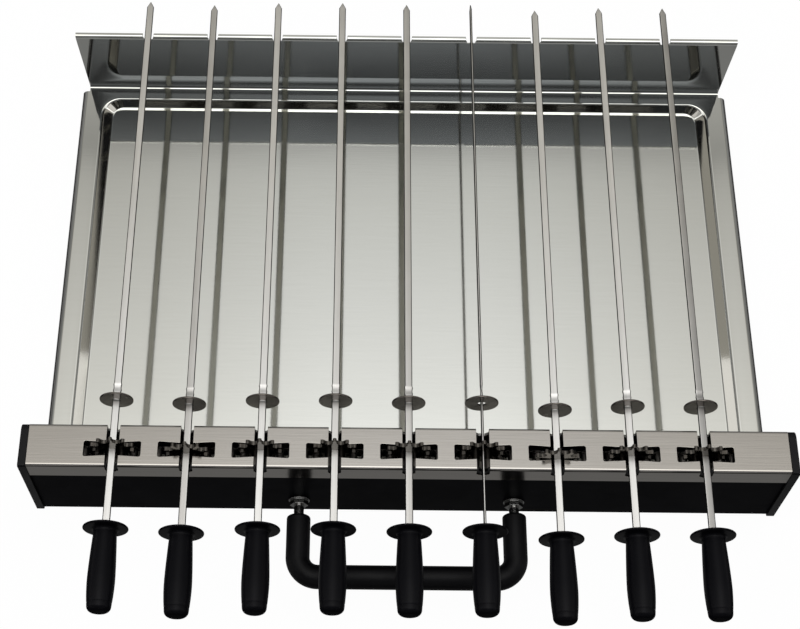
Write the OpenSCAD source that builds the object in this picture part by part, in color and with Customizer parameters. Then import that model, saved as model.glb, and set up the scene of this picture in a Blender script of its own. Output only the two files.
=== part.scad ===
// Pull-out drawer of an electric skewer grill: a drive bar with a chain that
// turns nine skewers, a drip tray with a notched back plate, and a pull handle.
// X runs along the bar, Y from the pull handle to the back plate, Z is up.
// The origin is the middle of the bar's underside. Millimetres and degrees.

/* [Drive bar] */
// Length of the drive bar over its two end caps
bar_length = 600; // [596:1:700]
// Depth of the drive bar from front to back
bar_depth = 35.3; // [35:0.1:45]
// Height of the top of the cover above the surface
bar_height = 91.2; // [88:0.1:110]
// Thickness of the stainless cover
cover_sheet = 0.8; // [0.6:0.1:1.2]
// Outer radius of the cover's long bends
cover_bend = 1.8; // [1.5:0.1:4]
// Height of the cover's front lip
lip_height = 20; // [16:0.5:30]
// Height of the cover's rear flange
rear_flange_height = 18; // [14:0.5:30]
// Thickness of the black fascia and of the rear wall
fascia_sheet = 1; // [0.8:0.1:1.5]
// Height of the fascia that is tucked behind the cover's lip
fascia_lap = 6; // [4:0.5:8]
// Thickness of an end cap
cap_thickness = 6; // [4:0.5:8]
// Least room from an end sprocket's axis to the end of the bar
sprocket_room = 36; // [35:0.5:60]
// How far an end cap stands proud of the cover
cap_proud = 1; // [0.5:0.1:2]
// Radius of an end cap's upper rear corner
cap_rear_corner = 7; // [3:0.5:12]
// Radius of an end cap's other corners
cap_corner = 2; // [1:0.5:4]
// Length of the rim on an end cap that fits inside the bar
cap_spigot = 3; // [2:0.5:4]
// Wall of that rim
cap_spigot_wall = 2; // [1.5:0.5:3]

/* [Skewer stations] */
// Number of skewers
skewer_count = 9; // [5:2:9]
// Most chain links from one skewer to the next; a shorter bar has fewer
links_per_station = 6; // [5:1:7]
// Width of the slot that a skewer drops into
slot_width = 10; // [8:0.5:12]
// Depth of that slot below the top of the cover
slot_depth = 10.7; // [9:0.1:12]
// Chamfer at the bottom of the slot
slot_chamfer = 2.6; // [1:0.1:3]
// Length of the opening round a star wheel
opening_length = 44.2; // [40:0.2:46]
// Width of the opening at its two ends
opening_end_width = 12.9; // [11:0.1:15]
// Width of the opening at its waist
opening_waist = 10.2; // [9.4:0.1:12]
// Corner radius of the opening
opening_corner = 1.5; // [0.5:0.1:3]
// Distance of the opening's middle from the front of the bar
opening_set_back = 14.75; // [14.4:0.05:15.1]
// Width of the black saddle behind the lip
saddle_width = 16; // [12:0.5:20]
// Thickness of that saddle from front to back
saddle_thickness = 2.6; // [2:0.1:4]

/* [Skewers] */
// Width of the flat skewer
blade_width = 6; // [5:0.1:6.5]
// Thickness of the flat skewer
blade_thickness = 2; // [1.5:0.1:3]
// Depth of the skewer's axis below the top of the cover
axis_drop = 2.2; // [1.6:0.1:4]
// Distance of an unshifted star wheel's middle from the front of the bar
wheel_set_back = 16.5; // [16.2:0.1:17.6]
// Distance from the star wheel to the skewer's tip
wheel_to_tip = 431.5; // [420:0.5:460]
// Length of the skewer's ground point
point_length = 6; // [4:0.5:15]
// Distance from the star wheel to the stop washer
wheel_to_washer = 40.5; // [30:0.5:60]
// Distance from the stop washer to the crimped ears
washer_to_ears = 10.5; // [6:0.5:20]
// How far a crimped ear stands out of the skewer's edge
ear_height = 0.9; // [0.5:0.1:1.5]
// Radius of a crimped ear
ear_radius = 2.2; // [1.6:0.1:3]
// Diameter of the stop washer
washer_diameter = 26.5; // [20:0.5:30]
// Thickness of the stop washer
washer_thickness = 1.5; // [1:0.1:2]
// Distance from the star wheel to the middle of the hand guard
wheel_to_guard = 66; // [55:0.5:90]
// Diameter of the hand guard
guard_diameter = 34.6; // [28:0.2:40]
// Thickness of the hand guard
guard_thickness = 2.2; // [1.5:0.1:4]
// Length of the grip from the guard's middle to its end
grip_length = 65; // [55:0.5:90]
// Largest diameter of the grip
grip_diameter = 21; // [18:0.2:26]
// Diameter of the grip where it meets the guard
grip_neck = 17.4; // [14:0.2:20]
// Diameter of the grip's end before its rounding
grip_end = 17.6; // [14:0.2:20]
// Rounding of the grip's end
grip_rounding = 5; // [2:0.5:7]
// How deep the skewer's tang reaches into the grip
tang_length = 45; // [30:1:55]
// Running clearance round the skewer in its slots and in its washer
skewer_clearance = 0.25; // [0.15:0.05:0.5]

/* [Star wheels and chain] */
// Teeth on a star wheel and on each end sprocket
wheel_teeth = 10; // [10:1:10]
// Diameter of a star wheel over its teeth
wheel_diameter = 35; // [33.5:0.1:36]
// Thickness of a star wheel
wheel_thickness = 3; // [2:0.1:3.6]
// Diameter of an end sprocket over its teeth
sprocket_diameter = 34; // [33:0.1:34.2]
// Pitch of the roller chain
chain_pitch = 9.525; // [9.3:0.025:9.525]
// Diameter of the chain's rollers
roller_diameter = 6.35; // [6:0.05:6.5]
// Length of the rollers, between the inner plates
roller_length = 12.5; // [11.5:0.1:12.8]
// Height of a link plate
plate_height = 8.2; // [7:0.1:8.6]
// Waist of a link plate between its two rollers
plate_waist = 6; // [4:0.1:7]
// Thickness of a link plate
plate_thickness = 0.9; // [0.7:0.1:1]
// Diameter of the chain's pins
pin_diameter = 3.28; // [2.5:0.01:3.5]
// Clearance between a roller and a tooth space
mesh_clearance = 0.15; // [0.1:0.05:0.25]
// Width of the end sprockets
sprocket_width = 10; // [8:0.5:11]
// Width of the rail under the chain's upper run
rail_width = 9; // [6:0.5:11]
// Height of that rail
rail_height = 9; // [6:0.5:12]
// Gap between the rail and the rollers
rail_gap = 0.2; // [0.1:0.05:0.4]

/* [Motor and gears] */
// Tooth module of the gear pair
gear_module = 1.5; // [1.4:0.1:1.5]
// Teeth on the gear of the drive shaft
drive_gear_teeth = 33; // [31:1:33]
// Teeth on the motor's pinion
pinion_teeth = 20; // [18:1:20]
// Face width of both gears
gear_width = 3.2; // [2.5:0.1:3.4]
// Diameter of the drive shaft and the idler axle
shaft_diameter = 8; // [6:0.5:8]
// Diameter of the motor's output shaft
output_shaft_diameter = 6; // [5:0.5:7]
// Length of the gearbox along the bar
gearbox_length = 46; // [40:1:50]
// Height of the gearbox
gearbox_height = 32; // [30:0.5:34]
// Thickness of the gearbox from front to back
gearbox_thickness = 23; // [18:0.5:24]
// Diameter of the motor
motor_diameter = 22; // [20:0.5:22.5]
// Length of the motor
motor_length = 31; // [25:1:36]
// Thickness of the chassis and bracket sheet
chassis_sheet = 1.5; // [1:0.1:2]

/* [Tray] */
// Width of the tray over its turned-down sides
tray_width = 588; // [580:1:588]
// Height of the tray's rim above the surface
rim_height = 14.2; // [12:0.1:20]
// Thickness of the tray's sheet
tray_sheet = 0.8; // [0.6:0.1:1.2]
// Outer radius of the tray's bends
tray_bend = 2.4; // [1.6:0.1:4]
// Distance of the full-width rim's rear end from the front of the bar
rim_rear = 403.7; // [380:0.1:406]
// Distance of the back plate from the front of the bar
back_plate_set_back = 408.7; // [404:0.1:432]
// Height of the back plate's top above the skewers' axis
back_plate_over_axis = 0.8; // [0.4:0.1:3]
// Width of the back plate
back_plate_width = 580; // [540:1:584]
// Depth of the flange along the back plate's top
top_flange = 4; // [2.5:0.1:8]
// Outer radius of the bend along the back plate's top
top_bend = 2; // [1:0.1:2.4]
// Width of a skewer notch at its mouth
notch_mouth = 10; // [9:0.1:14]
// Width of a skewer notch at its bottom
notch_bottom = 7; // [6.8:0.1:9]
// Width of the recess at the rim
recess_width = 550; // [500:1:560]
// Distance from the back plate to the recess at the rim
recess_to_plate = 14; // [8:0.5:40]
// Distance from the tray's front to the recess at the rim
recess_to_front = 18; // [10:1:60]
// Depth of the recess
recess_depth = 8.9; // [4:0.1:11]
// Slope of the recess's short walls, measured level
side_slope = 7.5; // [2:0.1:12]
// Slope of the recess's long walls, measured level
end_slope = 3; // [2:0.1:12]
// Corner radius of the recess at the rim
recess_corner = 16; // [8:0.5:30]
// Corner radius of the recess at its floor
floor_corner = 10; // [5:0.5:20]
// Height of the flange that fixes the tray to the bar
front_flange = 20; // [14:0.5:30]
// Distance of that flange's ends from the sides of bar and tray
flange_inset = 4; // [2:0.5:20]

/* [Pull handle] */
// Distance between the handle's two legs
handle_spacing = 172; // [120:1:220]
// Height of the handle above the surface
handle_height = 24; // [20:0.5:30]
// Reach of the handle in front of the bar
handle_reach = 64; // [50:0.5:90]
// Diameter of the handle's steel rod
rod_diameter = 8; // [6:0.5:10]
// Bend radius of the rod's middle line
handle_bend = 16; // [12:0.5:24]
// Outer diameter of the handle's soft sleeve
sleeve_diameter = 19; // [16:0.5:24]
// Distance of the sleeve's ends from the front of the bar
sleeve_start = 14; // [10:0.5:24]
// Diameter of the handle's washers
rod_washer_diameter = 17; // [15:0.2:22]
// Thickness of the handle's washers
rod_washer_thickness = 1.5; // [1:0.1:2.5]
// Width across the flats of the handle's nuts
rod_nut_width = 13; // [12:0.5:17]
// Thickness of the handle's nuts
rod_nut_thickness = 4; // [3:0.1:6.5]

/* [Power inlet] */
// Depth of the inlet body, along the bar
inlet_length = 19; // [15:0.5:22]
// Width of the inlet from front to back
inlet_width = 12; // [10:0.5:14]
// Height of the inlet
inlet_height = 18; // [14:0.5:22]
// Depth of the inlet's socket
inlet_socket = 9; // [6:0.5:12]

/* [Hidden] */
$fn = 64;
end = 0.01;          // overrun that keeps cuts from ending on a face
seat = 0.1;          // gap between sheets that lie behind one another
running = 0.05;      // radial clearance of a shaft in its bore

// How far each skewer was laid in from its nominal place, towards the back,
// and how far its flat is turned about its axis
skewer_shift = [0, -3.1, 0.1, 0.9, -0.4, 0.3, -5.2, -1.6, -1.2];
skewer_turn = [2, -7, 4, 7, 9, 90, -6, -8, 11];

// The skewers, numbered from the left as seen from the pull handle
stations = [1 : skewer_count];
mid_station = (skewer_count + 1) / 2;
extra_links = 7;      // chain run beyond the first and last skewer
fitting_links = floor(((bar_length - 2 * sprocket_room) / chain_pitch - extra_links)
    / (skewer_count - 1));
station_links = min(links_per_station, fitting_links);
station_pitch = station_links * chain_pitch;
function station_x(k) = (k - mid_station) * station_pitch;
function wheel_y(k) = wheel_set_back + skewer_shift[k - 1];

cover_length = bar_length - 2 * cap_thickness;
axis_z = bar_height - axis_drop;
slot_floor = bar_height - slot_depth;
blade_reach = norm([blade_width, blade_thickness]) / 2 + skewer_clearance;
fascia_y = cover_sheet + seat;
fascia_top = bar_height - lip_height + fascia_lap;
rear_wall_back = bar_depth - cover_sheet - seat;
rear_wall_y = rear_wall_back - fascia_sheet;

// Chain, star wheels and end sprockets share one tooth form
pitch_radius = chain_pitch / 2 / sin(180 / wheel_teeth);
space_radius = roller_diameter / 2 + mesh_clearance;
tooth_width = chain_pitch - 2 * space_radius;
root_disc = pitch_radius - space_radius / 2;
run_z = axis_z - pitch_radius;
sprocket_z = run_z - pitch_radius;
lower_run_z = sprocket_z - pitch_radius;
run_links = (skewer_count - 1) * station_links + extra_links;
sprocket_x = run_links / 2 * chain_pitch;
chain_y = opening_set_back;
plate_lap = chain_y + roller_length / 2;
chain_back = plate_lap + 2 * plate_thickness + 0.3;
chassis_y = chain_back + 1.2;

// Gear pair in front of the chain, and the gearbox behind the pinion
gear_y = fascia_y + fascia_sheet + 0.5;
gear_distance = gear_module * (drive_gear_teeth + pinion_teeth) / 2;
bracket_y = gear_y + gear_width + 1;
gearbox_y = bracket_y + chassis_sheet;
floor_top = fascia_sheet;
lowest_pinion_z = floor_top + chassis_sheet + gearbox_height / 2;
pinion_z = max(lowest_pinion_z, sprocket_z - gear_distance);
gearbox_z = pinion_z - gearbox_height / 2;
pinion_x = sprocket_x - sqrt(gear_distance ^ 2 - (sprocket_z - pinion_z) ^ 2);
shaft_from_gearbox_end = 14;
gearbox_right = pinion_x + shaft_from_gearbox_end;
gearbox_left = gearbox_right - gearbox_length;
mesh_angle = atan2(pinion_z - sprocket_z, pinion_x - sprocket_x);

tray_front_y = rear_wall_back;
recess_front_y = tray_front_y + recess_to_front;
recess_rear_y = back_plate_set_back - recess_to_plate;
recess_length = recess_rear_y - recess_front_y;
recess_mid_y = (recess_front_y + recess_rear_y) / 2;
back_plate_top = axis_z + back_plate_over_axis;
flange_width = min(cover_length, tray_width) - 2 * flange_inset;
notch_floor = axis_z - blade_reach;
screw_diameter = 4;
screw_head_diameter = 7.5;
screw_head_height = 2.4;
screw_z = rim_height + front_flange * 0.55;
screw_places = [-3, -1, 1, 3] * station_pitch;
inlet_y = bar_depth / 2 + 4;
inlet_z = rim_height + 4;

skewer_nodes = [for (part = ["blade", "star_wheel", "stop_washer", "grip"])
    for (k = stations) str(part, "_", k)];

// ---- Shapes that more than one piece uses ----

// Every piece is drawn with Y = 0 at the front of the bar, then set here
module from_bar_middle() translate([0, -bar_depth / 2, 0]) children();

// Runs a profile drawn in depth and height along the bar
module along_bar(length) {
    rotate([90, 0, 90]) translate([0, 0, -length / 2]) linear_extrude(length) children();
}

// Runs a profile drawn in X and height back from y by depth
module front_to_back(y, depth) {
    translate([0, y + depth, 0]) rotate([90, 0, 0]) linear_extrude(depth) children();
}

// A round bar or bore along Y, from y by depth
module rod_y(x, y, z, diameter, depth) {
    translate([x, y + depth, z]) rotate([90, 0, 0]) cylinder(d = diameter, h = depth);
}

// A quarter of a bent sheet in 2D, about the origin, from angle by 90 degrees
module bend(radius, sheet, angle) {
    rotate(angle) intersection() {
        difference() {
            circle(radius);
            circle(radius - sheet);
        }
        square(radius);
    }
}

// Points of an arc
function arc(centre, radius, from, to, steps = 6) =
    [for (i = [0 : steps]) centre + radius * [cos(from + (to - from) * i / steps),
                                             sin(from + (to - from) * i / steps)]];

// A rectangle from the origin, with radii from its lower left corner anticlockwise
module rounded_rectangle(width, height, radii) {
    polygon(concat(
        arc([radii[0], radii[0]], radii[0], 180, 270),
        arc([width - radii[1], radii[1]], radii[1], 270, 360),
        arc([width - radii[2], height - radii[2]], radii[2], 0, 90),
        arc([radii[3], height - radii[3]], radii[3], 90, 180)));
}

module centred_rounded_rectangle(width, height, radius) {
    translate([-width / 2, -height / 2])
        rounded_rectangle(width, height, [radius, radius, radius, radius]);
}

// The slot through front lip, top and rear flange at one station
module slot_profile() {
    polygon([[-slot_width / 2, bar_height + 1], [-slot_width / 2, slot_floor + slot_chamfer],
             [-slot_width / 2 + slot_chamfer, slot_floor],
             [slot_width / 2 - slot_chamfer, slot_floor],
             [slot_width / 2, slot_floor + slot_chamfer], [slot_width / 2, bar_height + 1]]);
}

module skewer_slots(y, depth) {
    for (k = stations) translate([station_x(k), 0, 0]) front_to_back(y, depth) slot_profile();
}

// The tooth form of a star wheel or sprocket, a tooth pointing down
module star_profile(diameter) {
    tip = tooth_width / 2;
    difference() {
        union() {
            circle(root_disc);
            for (i = [0 : wheel_teeth - 1]) rotate(-90 + i * 360 / wheel_teeth) {
                translate([0, -tip]) square([diameter / 2 - tip, 2 * tip]);
                translate([diameter / 2 - tip, 0]) circle(tip);
            }
        }
        for (i = [0 : wheel_teeth - 1]) rotate(-90 + (i + 0.5) * 360 / wheel_teeth)
            translate([pitch_radius, 0]) circle(space_radius);
    }
}

// ---- Drive bar ----

module opening_profile() {
    half = opening_length / 2;
    lean = atan2((opening_end_width - opening_waist) / 2, half);
    side = [half - opening_corner, opening_end_width / 2 - opening_corner];
    polygon(concat(
        arc(side, opening_corner, 0, 90 + lean),
        [[0, opening_waist / 2]],
        arc([-side[0], side[1]], opening_corner, 90 - lean, 180),
        arc(-side, opening_corner, 180, 270 + lean),
        [[0, -opening_waist / 2]],
        arc([side[0], -side[1]], opening_corner, 270 - lean, 360)));
}

module top_cover() color("silver") difference() {
    along_bar(cover_length) {
        translate([0, bar_height - lip_height])
            square([cover_sheet, lip_height - cover_bend]);
        translate([cover_bend, bar_height - cover_bend]) bend(cover_bend, cover_sheet, 90);
        translate([cover_bend, bar_height - cover_sheet])
            square([bar_depth - 2 * cover_bend, cover_sheet]);
        translate([bar_depth - cover_bend, bar_height - cover_bend])
            bend(cover_bend, cover_sheet, 0);
        translate([bar_depth - cover_sheet, bar_height - rear_flange_height])
            square([cover_sheet, rear_flange_height - cover_bend]);
    }
    skewer_slots(-1, bar_depth + 2);
    for (k = stations)
        translate([station_x(k), opening_set_back, bar_height - cover_bend - 1])
            linear_extrude(cover_bend + 2) opening_profile();
}

module front_fascia() color("#1b1b1d") difference() {
    along_bar(cover_length) {
        translate([fascia_y, cover_bend]) square([fascia_sheet, fascia_top - cover_bend]);
        translate([fascia_y + cover_bend, cover_bend]) bend(cover_bend, fascia_sheet, 180);
        translate([fascia_y + cover_bend, 0])
            square([rear_wall_back - fascia_y - cover_bend, fascia_sheet]);
    }
    for (side = [-1, 1])
        rod_y(side * handle_spacing / 2, 0, handle_height, rod_diameter + 2 * running, 4);
}

module rear_wall() color("gray") difference() {
    union() {
        front_to_back(rear_wall_y, fascia_sheet)
            translate([-cover_length / 2, floor_top])
                square([cover_length, bar_height - cover_bend - floor_top]);
        translate([-cover_length / 2, rear_wall_y - 6, floor_top])
            cube([cover_length, 6 + end, fascia_sheet]);
    }
    skewer_slots(rear_wall_y - 1, fascia_sheet + 2);
    for (x = screw_places)
        rod_y(x, rear_wall_y - 1, screw_z, screw_diameter + 2 * running, fascia_sheet + 2);
}

// An end cap's outline in depth and height, inset all round
module cap_outline(inset) {
    low = inset > 0 ? inset : 0;
    translate([-cap_proud + inset, low])
        rounded_rectangle(bar_depth + 2 * cap_proud - 2 * inset,
                          bar_height + cap_proud - inset - low,
                          [cap_corner, cap_corner, cap_rear_corner, cap_corner]);
}

// The rim of an end cap, which fits inside the bar's sheets
module spigot_outline(inset) {
    front = fascia_y + fascia_sheet + seat + inset;
    back = rear_wall_y - seat - inset;
    bottom = floor_top + fascia_sheet + seat + inset;
    top = bar_height - cover_sheet - seat - inset;
    translate([front, bottom])
        rounded_rectangle(back - front, top - bottom, [1, 1, 1, 1]);
}

module end_cap() {
    translate([cover_length / 2 + cap_thickness / 2, 0, 0]) along_bar(cap_thickness)
        cap_outline(0);
    translate([cover_length / 2 - cap_spigot / 2, 0, 0]) along_bar(cap_spigot + end)
        difference() {
            spigot_outline(0);
            spigot_outline(cap_spigot_wall);
        }
}

module end_cap_left() color("#19191b") mirror([1, 0, 0]) end_cap();

module end_cap_right() color("#19191b") difference() {
    end_cap();
    translate([bar_length / 2 - cap_thickness - 1, inlet_y - inlet_width / 2, inlet_z - inlet_height / 2])
        cube([cap_thickness + 2, inlet_width, inlet_height]);
}

// Black saddles behind the lip, each a U that a skewer turns in
module skewer_saddles() color("#202022") for (k = stations)
    translate([station_x(k), 0, 0]) front_to_back(fascia_y, saddle_thickness) difference() {
        top = bar_height - cover_bend;
        translate([-saddle_width / 2, fascia_top]) square([saddle_width, top - fascia_top]);
        translate([0, axis_z]) circle(blade_reach);
        translate([-blade_reach, axis_z]) square([2 * blade_reach, bar_height]);
    }

// ---- Chain drive ----

// Middle of each roller, clockwise from the left end of the upper run
function around(sprocket, steps) =
    [for (i = [1 : steps - 1]) [sprocket[0] + pitch_radius * sin(i * 360 / wheel_teeth + sprocket[1]),
                               sprocket_z + pitch_radius * cos(i * 360 / wheel_teeth + sprocket[1])]];
rollers = concat(
    [for (i = [0 : run_links]) [-sprocket_x + i * chain_pitch, run_z]],
    around([sprocket_x, 0], wheel_teeth / 2),
    [for (i = [0 : run_links]) [sprocket_x - i * chain_pitch, lower_run_z]],
    around([-sprocket_x, 180], wheel_teeth / 2));

// The link plates that start at every other roller
module link_plates(first) {
    count = len(rollers);
    for (i = [first : 2 : count - 1]) {
        a = rollers[i];
        b = rollers[(i + 1) % count];
        translate(a) circle(d = plate_height);
        translate(b) circle(d = plate_height);
        translate(a) rotate(atan2(b[1] - a[1], b[0] - a[0]))
            translate([0, -plate_waist / 2]) square([norm(b - a), plate_waist]);
    }
}

module drive_chain() color("dimgray") {
    front_to_back(chain_y - roller_length / 2, roller_length)
        for (at = rollers) translate(at) circle(d = roller_diameter, $fn = 24);
    for (side = [-1, 1]) {
        inner = chain_y + side * (roller_length + plate_thickness) / 2;
        outer = inner + side * plate_thickness;
        front_to_back(inner - plate_thickness / 2, plate_thickness) link_plates(0);
        front_to_back(outer - plate_thickness / 2, plate_thickness) link_plates(1);
        front_to_back(outer + side * plate_thickness / 2 - 0.3, 0.6)
            for (at = rollers) translate(at) circle(d = pin_diameter, $fn = 24);
    }
}

module guide_rail() color("ivory") {
    top = run_z - roller_diameter / 2 - rail_gap;
    length = 2 * (sprocket_x - pitch_radius - 6);
    arm_y = chain_y + rail_width / 2 - end;
    difference() {
        translate([-length / 2, chain_y - rail_width / 2, top - rail_height])
            cube([length, rail_width, rail_height]);
        for (side = [-1, 1]) translate([side * length / 2, chain_y, top]) rotate([0, side * 12, 0])
            translate([-15, -rail_width, 0]) cube([30, 2 * rail_width, 6]);
    }
    for (place = [-0.45, -0.225, 0, 0.225, 0.45])
        translate([place * length - 6, arm_y, top - rail_height])
            cube([12, chassis_y - arm_y, rail_height - 3]);
}

module drive_chassis() color("darkgray") difference() {
    length = 2 * (sprocket_x + 18);
    axle_slot = shaft_diameter + 2 * running;
    union() {
        translate([-length / 2, chassis_y, floor_top]) cube([length, chassis_sheet, sprocket_z + 9]);
        translate([-length / 2, chassis_y, floor_top])
            cube([length, rear_wall_y - 6 - seat - chassis_y, chassis_sheet]);
    }
    rod_y(sprocket_x, chassis_y - 1, sprocket_z, shaft_diameter + 4 + 2 * running, chassis_sheet + 2);
    // Slot that the idler axle slides in, to tighten the chain
    for (x = [-6, 6])
        rod_y(-sprocket_x + x, chassis_y - 1, sprocket_z, axle_slot, chassis_sheet + 2);
    translate([-sprocket_x - 6, chassis_y - 1, sprocket_z - axle_slot / 2])
        cube([12, chassis_sheet + 2, axle_slot]);
    // Clear corner for the gear motor and the inlet
    translate([gearbox_left - motor_length - 8, chassis_y - 1, 0])
        cube([length, 12, gearbox_z + gearbox_height + 1]);
}

module drive_shaft() color("lightgray") {
    back = chassis_y + 8;
    rod_y(sprocket_x, gear_y - 0.3, sprocket_z, shaft_diameter, back - gear_y + 0.3);
}

module shaft_bush() color("#b08d57") difference() {
    union() {
        rod_y(sprocket_x, chassis_y, sprocket_z, shaft_diameter + 4, 7);
        rod_y(sprocket_x, chassis_y + chassis_sheet, sprocket_z, shaft_diameter + 9, 5);
    }
    rod_y(sprocket_x, chassis_y - 1, sprocket_z, shaft_diameter + 2 * running, 10);
}

module sprocket(x) difference() {
    translate([x, 0, sprocket_z]) front_to_back(chain_y - sprocket_width / 2, sprocket_width)
        rotate(180 / wheel_teeth) star_profile(sprocket_diameter);
    rod_y(x, 0, sprocket_z, shaft_diameter + 2 * running, bar_depth);
}

module drive_sprocket() color("gray") sprocket(sprocket_x);
module idler_sprocket() color("gray") sprocket(-sprocket_x);

module idler_axle() color("lightgray") {
    rod_y(-sprocket_x, chain_y - sprocket_width / 2 - 3, sprocket_z, shaft_diameter + 4, 2.8);
    rod_y(-sprocket_x, chain_y - sprocket_width / 2 - 1, sprocket_z, shaft_diameter,
          chassis_y + chassis_sheet + 5 - (chain_y - sprocket_width / 2 - 1));
    // Nut behind the chassis, and the collar that holds the axle square
    translate([-sprocket_x, chassis_y + chassis_sheet + 4, sprocket_z]) rotate([90, 0, 0])
        cylinder(d = rod_nut_width / cos(30), h = 4, $fn = 6);
    rod_y(-sprocket_x, chain_y + sprocket_width / 2 + 0.2, sprocket_z, shaft_diameter + 4,
          chassis_y - chain_y - sprocket_width / 2 - 0.2);
}

// Spur gears with involute flanks; a tooth points along +X at turn 0
backlash = 0.24;
pressure_angle = 20;
function involute(base, radius) = let (a = acos(base / radius)) tan(a) * 180 / PI - a;
function flank(teeth, side) = let (
        r = gear_module * teeth / 2,
        base = r * cos(pressure_angle),
        root = r - 1.25 * gear_module,
        start = max(root, base + 0.001),
        half = 90 / teeth - backlash / 2 / r * 180 / PI + involute(base, r),
        radii = [for (i = [0 : 4]) start + (r + gear_module - start) * i / 4])
    concat([[root, side * (half - involute(base, start))]],
           [for (q = radii) [q, side * (half - involute(base, q))]]);
module gear_profile(teeth) {
    low = flank(teeth, -1);
    high = flank(teeth, 1);
    tooth = concat(low, [for (i = [len(high) - 1 : -1 : 0]) high[i]]);
    polygon([for (t = [0 : teeth - 1]) for (p = tooth)
        p[0] * [cos(t * 360 / teeth + p[1]), sin(t * 360 / teeth + p[1])]]);
}

module drive_gear() color("#c9b458") difference() {
    translate([sprocket_x, 0, sprocket_z]) front_to_back(gear_y, gear_width)
        rotate(mesh_angle) gear_profile(drive_gear_teeth);
    rod_y(sprocket_x, 0, sprocket_z, shaft_diameter + 2 * running, bar_depth);
}

// The output shaft and its pinion are one piece
module motor_pinion() color("#c9b458") {
    translate([pinion_x, 0, pinion_z]) front_to_back(gear_y, gear_width)
        rotate(mesh_angle + 180 + 180 / pinion_teeth) gear_profile(pinion_teeth);
    rod_y(pinion_x, gear_y + gear_width - end, pinion_z, output_shaft_diameter,
          gearbox_y + 12 - gear_y - gear_width);
}

module motor_bracket() color("darkgray") difference() {
    union() {
        translate([gearbox_left, bracket_y, floor_top])
            cube([gearbox_length, chassis_sheet, gearbox_z + gearbox_height - floor_top]);
        translate([gearbox_left, bracket_y, floor_top])
            cube([gearbox_length, chassis_y - bracket_y - seat, chassis_sheet]);
    }
    rod_y(pinion_x, bracket_y - 1, pinion_z, output_shaft_diameter + 1, chassis_sheet + 2);
}

module gear_motor() color("slategray") {
    motor_y = gearbox_y + gearbox_thickness / 2;
    difference() {
        front_to_back(gearbox_y, gearbox_thickness) translate([gearbox_left, gearbox_z])
            rounded_rectangle(gearbox_length, gearbox_height, [3, 3, 3, 3]);
        rod_y(pinion_x, gearbox_y - 1, pinion_z, output_shaft_diameter + 2 * running, 14);
    }
    translate([gearbox_left - motor_length, motor_y, pinion_z]) rotate([0, 90, 0])
        cylinder(d = motor_diameter, h = motor_length + end);
    translate([gearbox_left - motor_length - 2.5, motor_y, pinion_z]) rotate([0, 90, 0])
        cylinder(d = motor_diameter * 0.4, h = 3);
    for (side = [-1, 1])
        translate([gearbox_left - motor_length - 5, motor_y - 0.4,
                   pinion_z + side * motor_diameter * 0.34])
            cube([6, 0.8, 2.4]);
}

module power_inlet() color("#26262a") {
    face = bar_length / 2 - 0.5;
    difference() {
        union() {
            translate([face - inlet_length, inlet_y - inlet_width / 2 + seat,
                       inlet_z - inlet_height / 2 + seat])
                cube([inlet_length, inlet_width - 2 * seat, inlet_height - 2 * seat]);
            translate([cover_length / 2 - 2, inlet_y - inlet_width / 2 - 2, inlet_z - inlet_height / 2 - 2])
                cube([2, inlet_width + 4, inlet_height + 4]);
        }
        translate([face - inlet_socket, 0, 0]) rotate([90, 0, 90]) linear_extrude(inlet_socket + 1)
            translate([inlet_y, inlet_z]) centred_rounded_rectangle(inlet_width - 4, inlet_height - 4, 3);
    }
    for (side = [-1, 1])
        translate([face - inlet_socket - end, inlet_y, inlet_z + side * inlet_height * 0.2])
            rotate([0, 90, 0]) cylinder(d = 2.3, h = inlet_socket - 2);
}

// ---- Tray ----

// The recess's space, or with a wall the outside of its sheet
module recess_space(wall) hull() {
    translate([0, recess_mid_y, rim_height]) linear_extrude(end)
        centred_rounded_rectangle(recess_width + 2 * wall, recess_length + 2 * wall, recess_corner + wall);
    translate([0, recess_mid_y, rim_height - recess_depth - wall]) linear_extrude(end)
        centred_rounded_rectangle(recess_width - 2 * side_slope + 2 * wall,
                                  recess_length - 2 * end_slope + 2 * wall, floor_corner + wall);
}

module notch_profile() {
    polygon([[-notch_mouth / 2, back_plate_top + 1], [-notch_mouth / 2, back_plate_top],
             [-notch_bottom / 2, notch_floor], [notch_bottom / 2, notch_floor],
             [notch_mouth / 2, back_plate_top], [notch_mouth / 2, back_plate_top + 1]]);
}

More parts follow.
